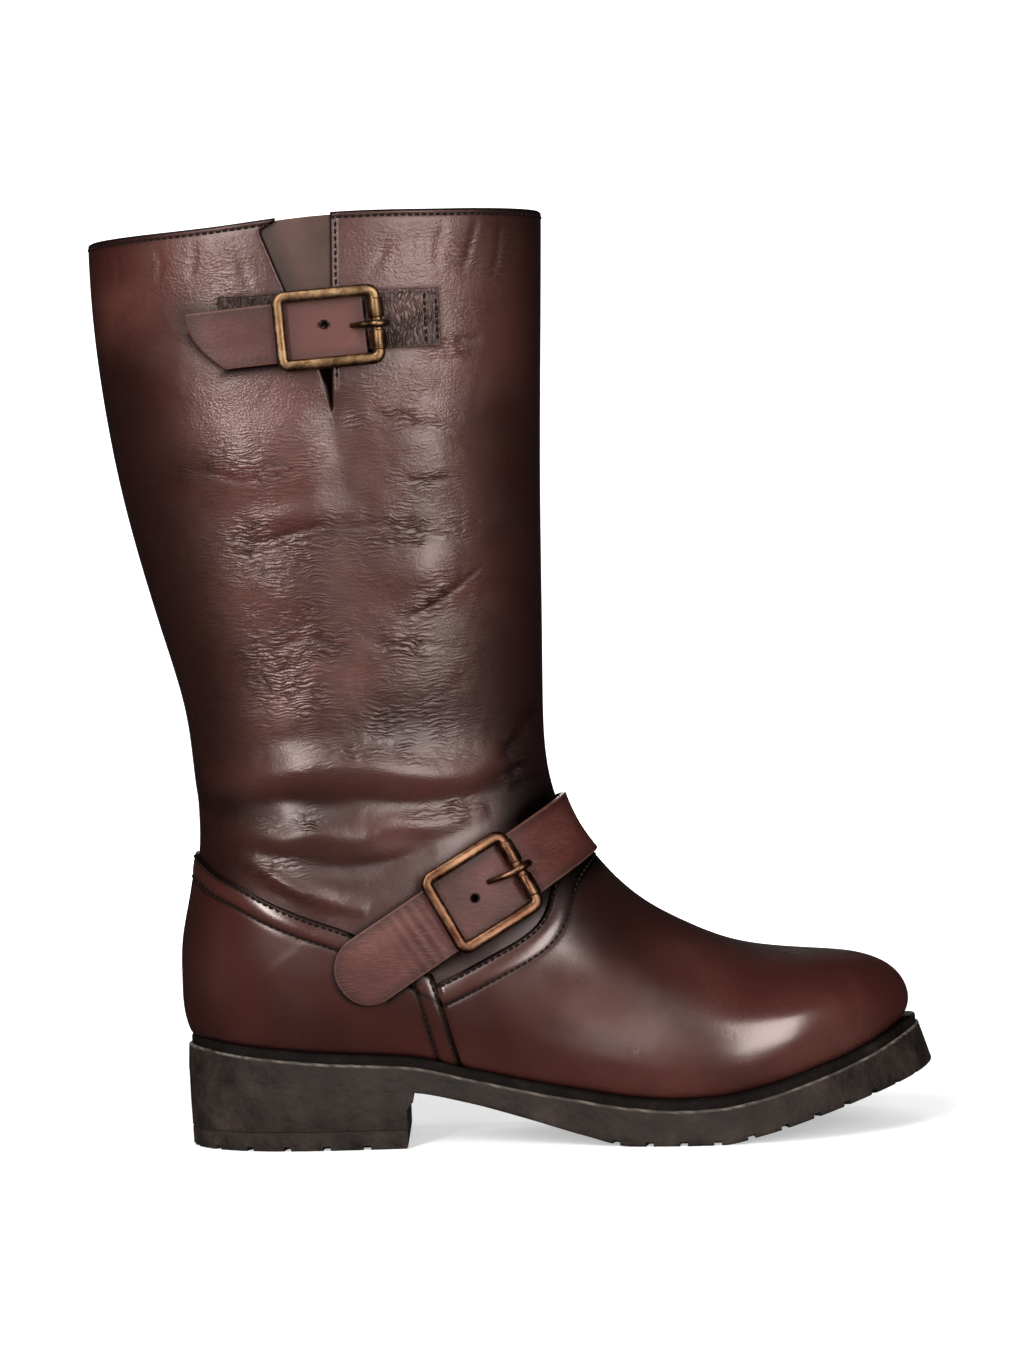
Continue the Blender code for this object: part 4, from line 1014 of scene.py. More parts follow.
def buildShaft():
    patch = takePatch(sheet, lambda p: (p[:, 2] > 50) & (p[:, 2] < 352))
    patch["fields"]["collar"] = -lineDistance(collarLine, patch["points"])
    trim(patch, "collar")
    patch["fields"]["shown"] = overlayGap(patch["points"]) + shaftPiece["tuck"]
    trim(patch, "shown")
    patch["fields"]["slit"], patch["fields"]["slitRow"] = slitFields(patch["points"])
    trim(patch, "slit")
    for level in shaftPiece["edgeCuts"]:
        score(patch, "collar", level)
        score(patch, "slit", level)
    for level in shaftPiece["rowCuts"]:
        score(patch, "collar", shaftPiece["stitchRow"] + level)
        score(patch, "slitRow", shaftPiece["slitRow"] + level)
    points = patch["points"]
    collar, slit, slitRow = (patch["fields"][name] for name in ("collar", "slit", "slitRow"))
    outer, z = points[:, 1] < 0, points[:, 2]
    relief, crinkle, pebble = reliefOf(points)
    relief = np.where(relief > 0, relief * softStep(overlayGap(points), -1.0, 3.0), relief)
    sewn = dip(collar, shaftPiece["stitchRow"], shaftPiece["rowWidth"])
    sewnSlit = dip(slitRow, shaftPiece["slitRow"], shaftPiece["rowWidth"]) * (outer & (z > 280))
    collarEdge, slitEdge = (1 - roundEdge(edge, shaftPiece["edgeRound"]) for edge in (collar, slit))
    top = relief - 0.9 * collarEdge - 0.7 * slitEdge - shaftPiece["rowDepth"] * (sewn + sewnSlit)
    # painted shade at the front, the back, the collar edge and in the fold troughs
    burnish = shaftShade(points) + 0.5 * (1 - roundEdge(collar, 2.4)) + 0.35 * np.clip(-top, 0, 1.2)
    # painted shadow under the straps, painted shade along the collar, the slit edge and the stitch rows
    grime = underStraps(points) + 0.8 * dip(collar, 0.3, 0.7) + 0.6 * dip(slit, 0.2, 0.5) + 0.5 * sewn * outer
    grime += shaftShading["crookShade"] * spot(points, *shaftShading["crook"])
    # raised places lighter; pebbled places paler towards the collar
    wearAndSheen = 0.10 * np.clip(top, 0, 2) + shaftShading["pale"] * pebble * softStep(z, *shaftShading["paleFrom"])
    shares = {"burnish": burnish, "wearAndSheen": wearAndSheen, "crinkle": crinkle, "pebble": pebble, "grime": grime}
    made = addCover("shaft", patch, top, -upper["wall"], [shaftLeather] * 2, shares, 50)
    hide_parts("upper")
    noteRow(patch, top, "collar", shaftPiece["stitchRow"])
    noteRow(patch, top, "slitRow", shaftPiece["slitRow"], lambda p: 284 < p[2] < 343 and p[1] < 0)


def buildLining():
    patch = takePatch(baseSheet(*liningPiece["rows"]), lambda p: p[:, 2] < 352)
    patch["fields"]["collar"] = -lineDistance(collarLine, patch["points"])
    trim(patch, "collar", liningPiece["collarSetback"])
    patch["fields"]["slit"] = slitFields(patch["points"])[0]
    trim(patch, "slit", liningPiece["slitSetback"])
    inner = patch["points"] - patch["outward"] * (upper["wall"] - liningPiece["clearance"])
    faces = [face[::-1] for face in patch["faces"]]
    x, y, z = inner.T
    # painted shade in the notch behind the foot of the slit, and darker deeper down
    notch = (y < 0) & (np.abs(x - 62) < 12) & (np.abs(z - 282) < 18)  # dark behind the foot of the slit
    fields = leatherFields(inner, burnish=softStep(-z, -300, -60) * 0.6, grime=notch * 1.0)
    addMesh("lining", inner, faces, [liningLeather], None, fields)


buildShaft()
buildLining()
print("shaft done")


# vamp and counter

footTuck = 0.4  # how far vamp and counter reach below the upper's lower edge


def footDistance(points):
    return points[:, 2] - featherHeight(points[:, 0])


def bandMiddle(piece):
    return (piece["edgeRow"] + piece["secondRow"]) / 2


def overlayTop(edge, piece, foot):
    # rounded edge, a groove at each row of stitches, a padded band between, foot turned in
    thickness = piece["thickness"] * (0.35 + 0.65 * roundEdge(edge, 1.3))
    thickness -= 0.24 * dip(edge, piece["edgeRow"], 0.8) + 0.26 * dip(edge, piece["secondRow"], 0.85)
    thickness += 0.28 * dip(edge, bandMiddle(piece), 2.3)
    return sole["gap"] + thickness * (0.15 + 0.85 * roundEdge(foot + footTuck, 4.0))


def scoreEdge(patch, name, piece):
    for level in (0.25, 0.7, 1.3):
        score(patch, name, level)
    for row in (piece["edgeRow"], piece["secondRow"]):
        for level in (-0.8, 0.0, 0.8):
            score(patch, name, row + level)


vampShadeAndSheen = {
    # x, z and slope in degrees of the way across the line where the foot bends, painted as a shaded band
    "flex": (178, 53, 42.1), "flexWidth": 11, "flexShade": 0.5, "flexStart": 140,
    # painted shade on the top of the instep
    "instepRise": (54, 90), "instepStart": (125, 150), "instepShade": 0.8,
    # painted highlight on the band between the stitch rows and on a spot; paler towards the foot
    "paleEdgeEnd": 134, "paleFoot": (24, 46), "sheenSpot": (150, 56, 20, 12),
    # x, z and slope of the painted sheen band beside the bend
    "paintedSheen": (158, 47, -21.5), "paintedSheenWidth": 7, "paintedSheenLength": 28,
}


def sideTurn(points, x, z, degrees):
    # distances along and across a slanted line in side view
    return bandPlace({"x": x, "z": z, "slope": degrees}, points)


def buildVamp():
    patch = takePatch(sheet, lambda p: (p[:, 0] > 84) & (p[:, 2] < 128))
    points = patch["points"]
    patch["fields"] = {
        "edge": -lineDistance(vampLine, points),
        "front": lineDistance(frontLine, points),
        "foot": footDistance(points),
    }
    trim(patch, "foot", -footTuck)
    trim(patch, "edge")
    trim(patch, "front", -0.8)
    scoreEdge(patch, "edge", vampPiece)
    points = patch["points"]
    edge, front, foot = (patch["fields"][name] for name in ("edge", "front", "foot"))
    x, y, z = points.T
    top = overlayTop(edge, vampPiece, foot)
    top -= 0.75 * (1 - softStep(front, 0.2, 2.2))
    flex = sideTurn(points, *vampShadeAndSheen["flex"])[0]
    # painted shade on the instep, in the bend and at the foot
    instep = softStep(z, *vampShadeAndSheen["instepRise"]) * softStep(x, *vampShadeAndSheen["instepStart"])
    burnish = vampShadeAndSheen["instepShade"] * instep + 0.1 * (1 - softStep(foot, 0.0, 4.0))
    burnish += vampShadeAndSheen["flexShade"] * dip(flex, 0, vampShadeAndSheen["flexWidth"]) * (x > vampShadeAndSheen["flexStart"])
    # painted shadow under the straps, painted shade along the edge, the second stitch row and the foot
    grime = underStraps(points) + 0.9 * dip(edge, 0.6, 1.0) + 0.75 * dip(edge, vampPiece["secondRow"], 0.8)
    grime += 0.5 * (1 - softStep(foot, 0.3, 2.0))
    # painted highlight on the stitched band, on a spot and in a band beside the bend; paler towards the foot
    wearAndSheen = 0.35 * dip(edge, bandMiddle(vampPiece), 2.6) * (x < vampShadeAndSheen["paleEdgeEnd"])
    wearAndSheen += 0.2 * (1 - softStep(z, *vampShadeAndSheen["paleFoot"])) + 0.25 * spot(points, *vampShadeAndSheen["sheenSpot"])
    along, across = sideTurn(points, *vampShadeAndSheen["paintedSheen"])
    wearAndSheen += 0.45 * dip(across, 0, vampShadeAndSheen["paintedSheenWidth"]) * dip(along, 0, vampShadeAndSheen["paintedSheenLength"])
    shares = {"burnish": burnish, "wearAndSheen": wearAndSheen, "grime": grime}
    made = addCover("vampCover", patch, top, 0.0, [vampLeather] * 2, shares, 60)
    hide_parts("vamp")
    for row in (vampPiece["edgeRow"], vampPiece["secondRow"]):
        noteRow(patch, top, "edge", row)


def buildCounter():
    patch = takePatch(sheet, lambda p: (p[:, 0] < 112) & (p[:, 2] < 122))
    points = patch["points"]
    patch["fields"] = {
        "top": -lineDistance(counterLine, points),
        "front": -lineDistance(frontLine, points) + counterPiece["overlap"],
        "foot": footDistance(points),
    }
    trim(patch, "foot", -footTuck)
    trim(patch, "top")
    trim(patch, "front")
    scoreEdge(patch, "top", counterPiece)
    scoreEdge(patch, "front", counterPiece)
    points = patch["points"]
    edge, front, foot = (patch["fields"][name] for name in ("top", "front", "foot"))
    top = overlayTop(np.minimum(edge, front), counterPiece, foot)
    top += 0.3 * (1 - softStep(front, 2.0, 12.0))
    # painted shade at the back of the heel and at the foot
    burnish = 0.7 * (1 - softStep(points[:, 0], 4, 28)) + 0.35 * (1 - softStep(foot, 0.0, 4.0))
    # painted shadow under the straps, painted shade at the foot, the edges and the stitch rows
    grime = underStraps(points) + 0.5 * (1 - softStep(foot, 0.3, 2.0))
    for side in (edge, front):
        grime += 0.9 * dip(side, 0.6, 0.9) + 0.7 * dip(side, counterPiece["secondRow"], 0.8)
    # painted highlight on the stitched band
    wearAndSheen = 0.2 * dip(edge, bandMiddle(counterPiece), 2.6)
    shares = {"burnish": burnish, "wearAndSheen": wearAndSheen, "grime": grime}
    made = addCover("counterCover", patch, top, 0.0, [vampLeather] * 2, shares, 60)
    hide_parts("counter")
    for row in (counterPiece["edgeRow"], counterPiece["secondRow"]):
        noteRow(patch, top, "top", row, lambda p: p[0] < 88)
        noteRow(patch, top, "front", row, lambda p: p[2] < 66 and p[2] > featherHeight(p[0]) + 1.5)


buildVamp()
buildCounter()
print("vamp and counter done")


# panel behind the slit

gussetPiece = {
    "foot": (64.0, 262.0), "frontTop": (73.0, 350.0), "backTop": (30.0, 350.0), "collarSetback": 0.9,
    "behind": 0.2, "thickness": 1.0,
}


def buildGusset():
    patch = takePatch(sheet, lambda p: (p[:, 1] < 0) & (p[:, 2] > 255) & (p[:, 0] > 10) & (p[:, 0] < 100))
    points, foot = patch["points"], gussetPiece["foot"]
    front = lineDistance(np.array([foot, gussetPiece["frontTop"]]), points)
    back = -lineDistance(np.array([foot, gussetPiece["backTop"]]), points)
    patch["fields"] = {"collar": -lineDistance(collarLine, points), "panel": np.minimum(front, back)}
    trim(patch, "collar", gussetPiece["collarSetback"])
    trim(patch, "panel")
    x, y, z = patch["points"].T
    # painted shadow from the slit's back edge, and painted shade at the bottom of the notch
    fromEdge = x - 47.5 + (z - 319) * 0.39  # how far it lies in front of the slit's back edge
    shares = {"burnish": 0.7 * (1 - softStep(fromEdge, 0, 10)), "grime": 1 - softStep(z, 288, 298)}
    top = -upper["wall"] - gussetPiece["behind"]
    bottom = top - gussetPiece["thickness"]
    looks = [gussetLeather, gussetLeather, liningLeather]
    made = addCover("gussetPanel", patch, top, bottom, looks, shares, 50, True)
    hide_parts("gusset")


buildGusset()


# straps

strapPiece = {
    "baseHeights": (0.3, 1.8), "calfHeights": (2.1, 4.1), "ankleHeights": (2.0, 4.0),
    "edgeCuts": (0.3, 0.7), "edgeRound": 0.7, "tabRows": (1.3, 5.4), "rowEnd": 1.2,
}


def strapShell(name, patch, heights, bend, material, node, crinkle=0.0, paintedSheen=0.0, buckleShade=0.0):
    points, edge = patch["points"], patch["fields"]["edge"]
    low, high = heights
    rounding = 1 - roundEdge(edge, strapPiece["edgeRound"])
    top, bottom = high - 0.45 * rounding + bend, low + 0.2 * rounding + bend
    # darker towards the edges; the pale edge line is partly a painted highlight; painted shade round the
    # holes and behind the buckle
    shares = {
        "burnish": 0.6 * (1 - softStep(edge, 0.6, 5.0)),
        "wearAndSheen": 0.8 * dip(edge, 0.25, 0.3) + paintedSheen - buckleShade,
        "grime": 1 - softStep(holeField(points, calfHoles + ankleHoles), 0.1, 0.7) + buckleShade,
        "crinkle": crinkle,
    }
    made = addCover(name, patch, top, bottom, [material, cutEdge, material], shares, 60, True)
    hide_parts(node)
    return top


def finerPatch(near):
    # a patch of the sheet with each face split in four
    patch = takePatch(sheet, near)
    points, outward, faces = patch["points"], patch["outward"], patch["faces"]
    count, mids = len(points), {}
    morePoints, moreOutward, fresh = [], [], []

    def more(corners):
        morePoints.append(points[corners].mean(axis=0))
        moreOutward.append(outward[corners].mean(axis=0))
        return count + len(morePoints) - 1

    for face in faces:
        ring = []
        for a, b in zip(face, face[1:] + face[:1]):
            key = (min(a, b), max(a, b))
            if key not in mids:
                mids[key] = more([a, b])
            ring.append(mids[key])
        middle = more(list(face))
        fresh += [(corner, ring[i], middle, ring[i - 1]) for i, corner in enumerate(face)]
    patch["points"], patch["outward"] = np.vstack([points, morePoints]), np.vstack([outward, moreOutward])
    patch["outward"] /= np.linalg.norm(patch["outward"], axis=1)[:, None]
    patch["faces"] = fresh
    return patch


def trimStrap(patch, gap, holes):
    patch["fields"]["edge"] = gap(patch["points"])
    patch["fields"]["hole"] = holeField(patch["points"], holes)
    trim(patch, "edge")
    trim(patch, "hole")
    for level in strapPiece["edgeCuts"]:
        score(patch, "edge", level)


def buildBaseStrap():
    patch = takePatch(sheet, lambda p: (p[:, 1] < 0) & (p[:, 2] > 285) & (p[:, 2] < 325) & (p[:, 0] < 115))
    patch["fields"]["end"] = baseBand["end"] - bandPlace(baseBand, patch["points"])[0]
    trimStrap(patch, baseGap, [])
    for level in strapPiece["tabRows"]:
        score(patch, "end", level)
    x, y, z = patch["points"].T
    lumps = 0.12 * np.sin(x * 1.9 + 1.3 * np.sin(z * 0.8)) * softStep(patch["fields"]["edge"], 0, 2)
    # painted shade behind the buckle
    buckleShade = 0.5 * (x < 60)  # behind the buckle
    top = strapShell("calfTab", patch, strapPiece["baseHeights"], lumps, tabLeather,
                     "calf_strap_base", crinkle=0.9, buckleShade=buckleShade)
    sewn = baseBand["half"] - strapPiece["rowEnd"]
    for level in strapPiece["tabRows"]:
        noteRow(patch, top, "end", level, lambda p: abs(bandPlace(baseBand, p[None, :])[1][0]) < sewn)


def buildCalfStrap():
    patch = finerPatch(lambda p: (p[:, 1] < 0) & (p[:, 2] > 284) & (p[:, 2] < 322) & (p[:, 0] < 82))
    trimStrap(patch, calfGap, calfHoles)
    along, across = bandPlace(calfBand, patch["points"])
    lift = 1.5 * softStep(-along, 26, 52) + 0.5 * softStep(-across, 2, 11) * softStep(-along, 18, 30)
    sag = -0.35 * dip(along, -3, 9)
    # painted highlight inside the buckle
    paintedSheen = 0.4 * np.exp(-((along + 2) / 13) ** 4)  # inside the buckle
    strapShell("calfFreeStrap", patch, strapPiece["calfHeights"], lift + sag, strapLeather,
               "calf_strap", paintedSheen=paintedSheen)


def buildAnkleStrap():
    patch = finerPatch(lambda p: (np.abs(bandPlace(ankleBand, p)[1]) < 15) & (p[:, 2] > 30) & (p[:, 2] < 150))
    trimStrap(patch, ankleGap, ankleHoles)
    along, across = bandPlace(ankleBand, patch["points"])
    lift = softStep(-along, 34, 62)
    ripples = 0.16 * np.sin(along * 1.55 + 0.05 * across) * dip(along, -27, 8)
    bent = np.where(patch["points"][:, 1] < 0, lift + ripples, 0.0)
    strapShell("ankleBand", patch, strapPiece["ankleHeights"], bent, strapLeather,
               "ankle_strap", crinkle=0.3)


buildBaseStrap()
buildCalfStrap()
buildAnkleStrap()
print("straps done")


# stitches

stitch = {
    # look is how far ahead and behind the row's way is taken
    "pitch": 2.6, "length": 1.9, "radius": 0.52, "rise": 0.12, "sides": 6, "look": 0.8,
    # place along the stitch, share of the radius
    "rings": [(-0.5, 0.25), (-0.38, 0.75), (0.0, 1.0), (0.38, 0.75), (0.5, 0.25)],
}


def placeAt(run, rows, at):
    return np.array([np.interp(at, run, rows[:, k]) for k in range(3)])


def sewAll():
    points, faces = [], []
    sides, rings = stitch["sides"], stitch["rings"]
    turns = [2 * math.pi * k / sides for k in range(sides)]
    for path, normals in threadRuns:
        run = runLength(path)
        for at in np.arange(stitch["pitch"] / 2, run[-1] - stitch["length"] / 2, stitch["pitch"]):
            centre, up = placeAt(run, path, at), placeAt(run, normals, at)
            way = placeAt(run, path, at + stitch["look"]) - placeAt(run, path, at - stitch["look"])
            way /= np.linalg.norm(way) + 1e-9
            up -= way * (up @ way)
            up /= np.linalg.norm(up)
            aside = np.cross(way, up)
            start = len(points)
            for place, size in rings:
                middle = centre + way * place * stitch["length"] + up * stitch["rise"] * size
                reach = size * stitch["radius"]
                points.extend(middle + (aside * math.cos(t) + up * math.sin(t)) * reach for t in turns)
            for r in range(len(rings) - 1):
                for k in range(sides):
                    a, b = start + r * sides + k, start + r * sides + (k + 1) % sides
                    faces.append((a, b, b + sides, a + sides))
            faces.append(tuple(range(start, start + sides))[::-1])
            faces.append(tuple(range(start + (len(rings) - 1) * sides, start + len(rings) * sides)))
    print("stitch faces", len(faces))
    addMesh("stitches", np.array(points), faces, [thread])


sewAll()


# buckles

upperTree = BVHTree.FromPolygons(sheet["points"].tolist(), sheet["quads"].tolist())
calfBuckle = {
    "x": 63.8, "z": 302.6, "slope": 3.7, "length": 38.6, "height": 29.0, "corner": 4.6, "top": 4.1,
    "bar": 2.1, "lift": 2.4, "wire": 2.15, "flat": 0.82, "sleeve": 3.0,
    "prong": 1.35, "reach": 5.2, "swing": 0.0,
}
ankleBuckle = {
    "x": 111.6, "z": 93.2, "slope": 29.0, "length": 34.5, "height": 34.0, "corner": 4.8, "top": 4.0,
    "bar": 2.1, "lift": 3.3, "wire": 2.3, "flat": 0.85, "sleeve": 3.0,
    "prong": 1.35, "reach": 7.0, "swing": 2.0,
}
sleeveShape = {
    # share of the straight bar where each sleeve starts and ends
    "roller_lower": (0.03, 0.385),
    "roller_upper": (0.615, 0.97),
    # share along a sleeve, share of its radius
    "rings": [
        (0.0, 0.817), (0.0, 0.917), (0.02, 0.983), (0.06, 1.007), (0.5, 1.027), (0.94, 1.007), (0.98, 0.983),
        (1.0, 0.917), (1.0, 0.817),
    ],
}


def smoothFace(buckle):
    # a gently curved patch fitted to the upper under a buckle
    c, s = math.cos(math.radians(buckle["slope"])), math.sin(math.radians(buckle["slope"]))
    rows, hits = [], []
    for a in np.linspace(-22, 22, 12):
        for b in np.linspace(-18, 18, 10):
            x, z = buckle["x"] + a * c - b * s, buckle["z"] + a * s + b * c
            hit = upperTree.ray_cast(Vector((x, -200.0, z)), Vector((0, 1, 0)))[0]
            rows.append((1, a, b, a * a, a * b, b * b))
            hits.append(hit.y)
    fit = np.linalg.lstsq(np.array(rows), np.array(hits), rcond=None)[0]

    def place(a, b, height):
        y = fit @ np.array([1, a, b, a * a, a * b, b * b])
        slopeA = fit[1] + 2 * fit[3] * a + fit[4] * b
        slopeB = fit[2] + fit[4] * a + 2 * fit[5] * b
        normal = np.array([slopeA * c - slopeB * s, -1.0, slopeA * s + slopeB * c])
        normal /= np.linalg.norm(normal)
        face = np.array([buckle["x"] + a * c - b * s, y, buckle["z"] + a * s + b * c])
        return face + normal * height, normal

    return place


def sweep(route, ups, radii, closed, sides=16, flat=1.0, square=2.4):
    # tube with a softly squared section
    route, ups = np.array(route), np.array(ups)
    count = len(route)
    points, faces = [], []
    for i in range(count):
        ahead = route[(i + 1) % count] if closed or i < count - 1 else route[i]
        behind = route[i - 1] if closed or i > 0 else route[i]
        way = ahead - behind
        way /= np.linalg.norm(way)
        up = ups[i] - way * (ups[i] @ way)
        up /= np.linalg.norm(up)
        aside = np.cross(way, up)
        for k in range(sides):
            t = 2 * math.pi * k / sides
            c, s = math.cos(t), math.sin(t)
            a = math.copysign(abs(c) ** (2 / square), c)
            b = math.copysign(abs(s) ** (2 / square), s) * flat
            points.append(route[i] + (aside * a + up * b) * radii[i])
    for i in range(count if closed else count - 1):
        j = (i + 1) % count
        for k in range(sides):
            m = (k + 1) % sides
            faces.append((i * sides + k, i * sides + m, j * sides + m, j * sides + k))
    if not closed:
        faces.append(tuple(range(sides))[::-1])
        faces.append(tuple(range((count - 1) * sides, count * sides)))
    return np.array(points), faces


def frameRoute(buckle, halfA, halfB):
    # rounded rectangle in steps of about 2 mm
    radius = buckle["corner"] - buckle["bar"]
    corners = []
    for quarter, (sa, sb) in enumerate(((1, 1), (-1, 1), (-1, -1), (1, -1))):
        for step in range(9):
            angle = math.pi / 2 * (quarter + step / 8)
            corners.append((sa * (halfA - radius) + radius * math.cos(angle),
                            sb * (halfB - radius) + radius * math.sin(angle)))
    route = []
    for (a, b), (nextA, nextB) in zip(corners, corners[1:] + corners[:1]):
        parts = max(int(math.hypot(nextA - a, nextB - b) / 2.0), 1)
        route += [(a + (nextA - a) * k / parts, b + (nextB - b) * k / parts) for k in range(parts)]
    return route


def prongRoute(buckle, halfA, height, place):
    # a loop round the bar, then a finger that sinks to the strap
    hook = buckle["wire"] + 0.2 + buckle["prong"]
    route, ups, radii = [], [], []
    for degrees in range(-120, 150, 15):
        c, s = hook * math.cos(math.radians(degrees)), hook * math.sin(math.radians(degrees))
        here, _ = place(halfA + c, 0, height + s)
        outside, _ = place(halfA + 2 * c, 0, height + 2 * s)
        route.append(here)
        ups.append((outside - here) / np.linalg.norm(outside - here))
        radii.append(buckle["prong"])
    first, last = halfA - hook * math.cos(math.radians(35)) - 0.6, halfA - hook - buckle["reach"]
    high, low = height + hook * math.sin(math.radians(145)), buckle["top"] + 0.1
    for t in np.linspace(0.12, 1, 10):
        sunk = high + (low - high) * (0.25 * t + 0.75 * t ** 2.2)
        here, normal = place(first + (last - first) * t, buckle["swing"] * t, sunk)
        route.append(here)
        ups.append(normal)
        radii.append(buckle["prong"] * (1.0 - 0.25 * t))
    return route, ups, radii


def buildBuckle(label, buckle, metal):
    place = smoothFace(buckle)
    height = buckle["top"] + buckle["lift"]
    halfA, halfB = buckle["length"] / 2 - buckle["bar"], buckle["height"] / 2 - buckle["bar"]
    route, ups = zip(*(place(a, b, height) for a, b in frameRoute(buckle, halfA, halfB)))
    points, faces = sweep(route, ups, [buckle["wire"]] * len(route), True, 20, buckle["flat"], 2.7)
    made = addMesh(label + "Frame", points, faces, [metal])
    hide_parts(label + "_buckle")
    straight = buckle["height"] / 2 - buckle["corner"]
    for name in ("roller_lower", "roller_upper"):
        start, end = (-straight + 2 * straight * t for t in sleeveShape[name])
        rings = sleeveShape["rings"]
        # a small step apart, so that rings at the same end still have a way
        steps = [start + (end - start) * (t + 0.001 * i) for i, (t, _) in enumerate(rings)]
        route, ups = zip(*(place(halfA, b, height) for b in steps))
        radii = [radius * buckle["sleeve"] for _, radius in rings]
        points, faces = sweep(route, ups, radii, False, 24, 1.0, 2.0)
        made = addMesh(label + name.title().replace("_", ""), points, faces, [metal], sharp=50)
        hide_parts(label + "_" + name)
    points, faces = sweep(*prongRoute(buckle, halfA, height, place), False, 14, 0.9, 2.2)
    made = addMesh(label + "Pin", points, faces, [metal])
    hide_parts(label + "_prong")


buildBuckle("calf", calfBuckle, brass)
buildBuckle("ankle", ankleBuckle, copper)
print("buckles done")


# sole, welt and heel

solePiece = {
    "stations": 150, "heelBreast": 82.4, "breastLip": 2.4, "lipBottom": 17.4, "lipChamfer": 2.7,
    "liftHeight": 7.0, "heelTaper": 0.8, "grooveWidth": 2.9, "grooveDepth": 1.7, "groovePitch": 12.6,
    "firstGroove": 158.0, "notchPitch": 15.0, "notchReach": 8.0, "weltSetback": 1.2, "weltWidth": 13.0,
    # more set in, lower than the top edge
    "rimRound": [(7.0, 0.0), (1.1, 0.0), (0.45, 0.12), (0.1, 0.5), (0.0, 1.1)],
    "wallShares": (0.25, 0.5, 0.75),
    # more set in, higher than the underside
    "footRound": [(0.0, 1.0), (0.2, 0.4), (0.8, 0.0)],
}


def stations(line, front=None, count=None):
    count = count or solePiece["stations"]
    outer, inner = sides(line)
    first, last = outer[0, 0], outer[-1, 0]
    if front is not None:
        x = first + (front - first) * (1 + np.cos(np.linspace(math.pi, math.pi / 2, count + 1)))
    else:
        x = first + (last - first) * (1 + np.cos(np.linspace(math.pi, 0, count + 1))) / 2
    return x, np.interp(x, outer[:, 0], outer[:, 1]), np.interp(x, inner[:, 0], inner[:, 1])


def stack(levels):
    # solid of levels, top first, each a row of x, outer y, inner y and z
    points, rows, faces = [], [], []
    for x, outer, inner, z in levels:
        row = []
        for k in range(len(x)):
            points.append((x[k], outer[k], z[k]))
            a = len(points) - 1
            if abs(inner[k] - outer[k]) > 0.01:
                points.append((x[k], inner[k], z[k]))
            row.append((a, len(points) - 1))
        rows.append(row)

    def face(*corners):
        ring = tuple(dict.fromkeys(corners))
        if len(ring) > 2:
            faces.append(ring)

    count = len(rows[0])
    for k in range(count - 1):
        for row, turn in ((rows[0], 1), (rows[-1], -1)):
            corners = [row[k][0], row[k + 1][0], row[k + 1][1], row[k][1]]
            face(*corners[::turn])
        for high, low in zip(rows, rows[1:]):
            face(high[k][0], low[k][0], low[k + 1][0], high[k + 1][0])
            face(high[k + 1][1], low[k + 1][1], low[k][1], high[k][1])
    for high, low in zip(rows, rows[1:]):
        face(high[0][1], low[0][1], low[0][0], high[0][0])
        face(high[-1][0], low[-1][0], low[-1][1], high[-1][1])
    return np.array(points), faces


def turnedBox(size, place, turnY=0.0, turnZ=0.0):
    corners = np.array([(x, y, z) for x in (-0.5, 0.5) for y in (-0.5, 0.5) for z in (-0.5, 0.5)]) * size
    turn = Matrix.Rotation(turnZ, 3, "Z") @ Matrix.Rotation(turnY, 3, "Y")
    corners = corners @ np.array(turn).T + np.array(place)
    return corners, [(0, 1, 3, 2), (4, 6, 7, 5), (0, 4, 5, 1), (2, 3, 7, 6), (0, 2, 6, 4), (1, 5, 7, 3)]


def carve(target, boxes):
    # cuts boxes out of a piece and keeps the plain result
    points = np.vstack([corners for corners, faces in boxes])
    faces = [tuple(i + 8 * k for i in face) for k, (_, sides) in enumerate(boxes) for face in sides]
    mesh = bpy.data.meshes.new("cutter")
    mesh.from_pydata((points / 1000 + shift).tolist(), [], faces)
    cutter = linkObject("cutter", mesh)
    modifier = target.modifiers.new("cut", "BOOLEAN")
    modifier.operation, modifier.solver, modifier.object = "DIFFERENCE", "EXACT", cutter
    bpy.context.view_layer.update()
    result = bpy.data.meshes.new_from_object(target.evaluated_get(bpy.context.evaluated_depsgraph_get()))
    target.modifiers.clear()
    old = target.data
    target.data = result
    result.name = old.name
    bpy.data.meshes.remove(old)
    bpy.data.objects.remove(cutter)
    bpy.data.meshes.remove(mesh)
    result.shade_smooth()
    result.set_sharp_from_angle(angle=math.radians(38))


def rimScuffAndGlint(points, rim, seed):
    # light scuffs and painted glints along an upper rim, broken up along its length
    x, y, z = points.T
    gap = np.abs(z - rim)
    beat = 0.5 + 0.5 * np.sin(x * 0.41 + seed) * np.sin(x * 0.173 + y * 0.09 + 2.1 * seed)
    glint = np.clip(1.6 * np.sin(x * 1.9 + y * 1.3 + 3.7 * seed) * np.sin(x * 0.83 - y * 0.6), 0, 1)
    return np.clip(1.2 - gap / 0.9, 0, 1) * (0.1 + 0.3 * beat + 0.6 * glint)


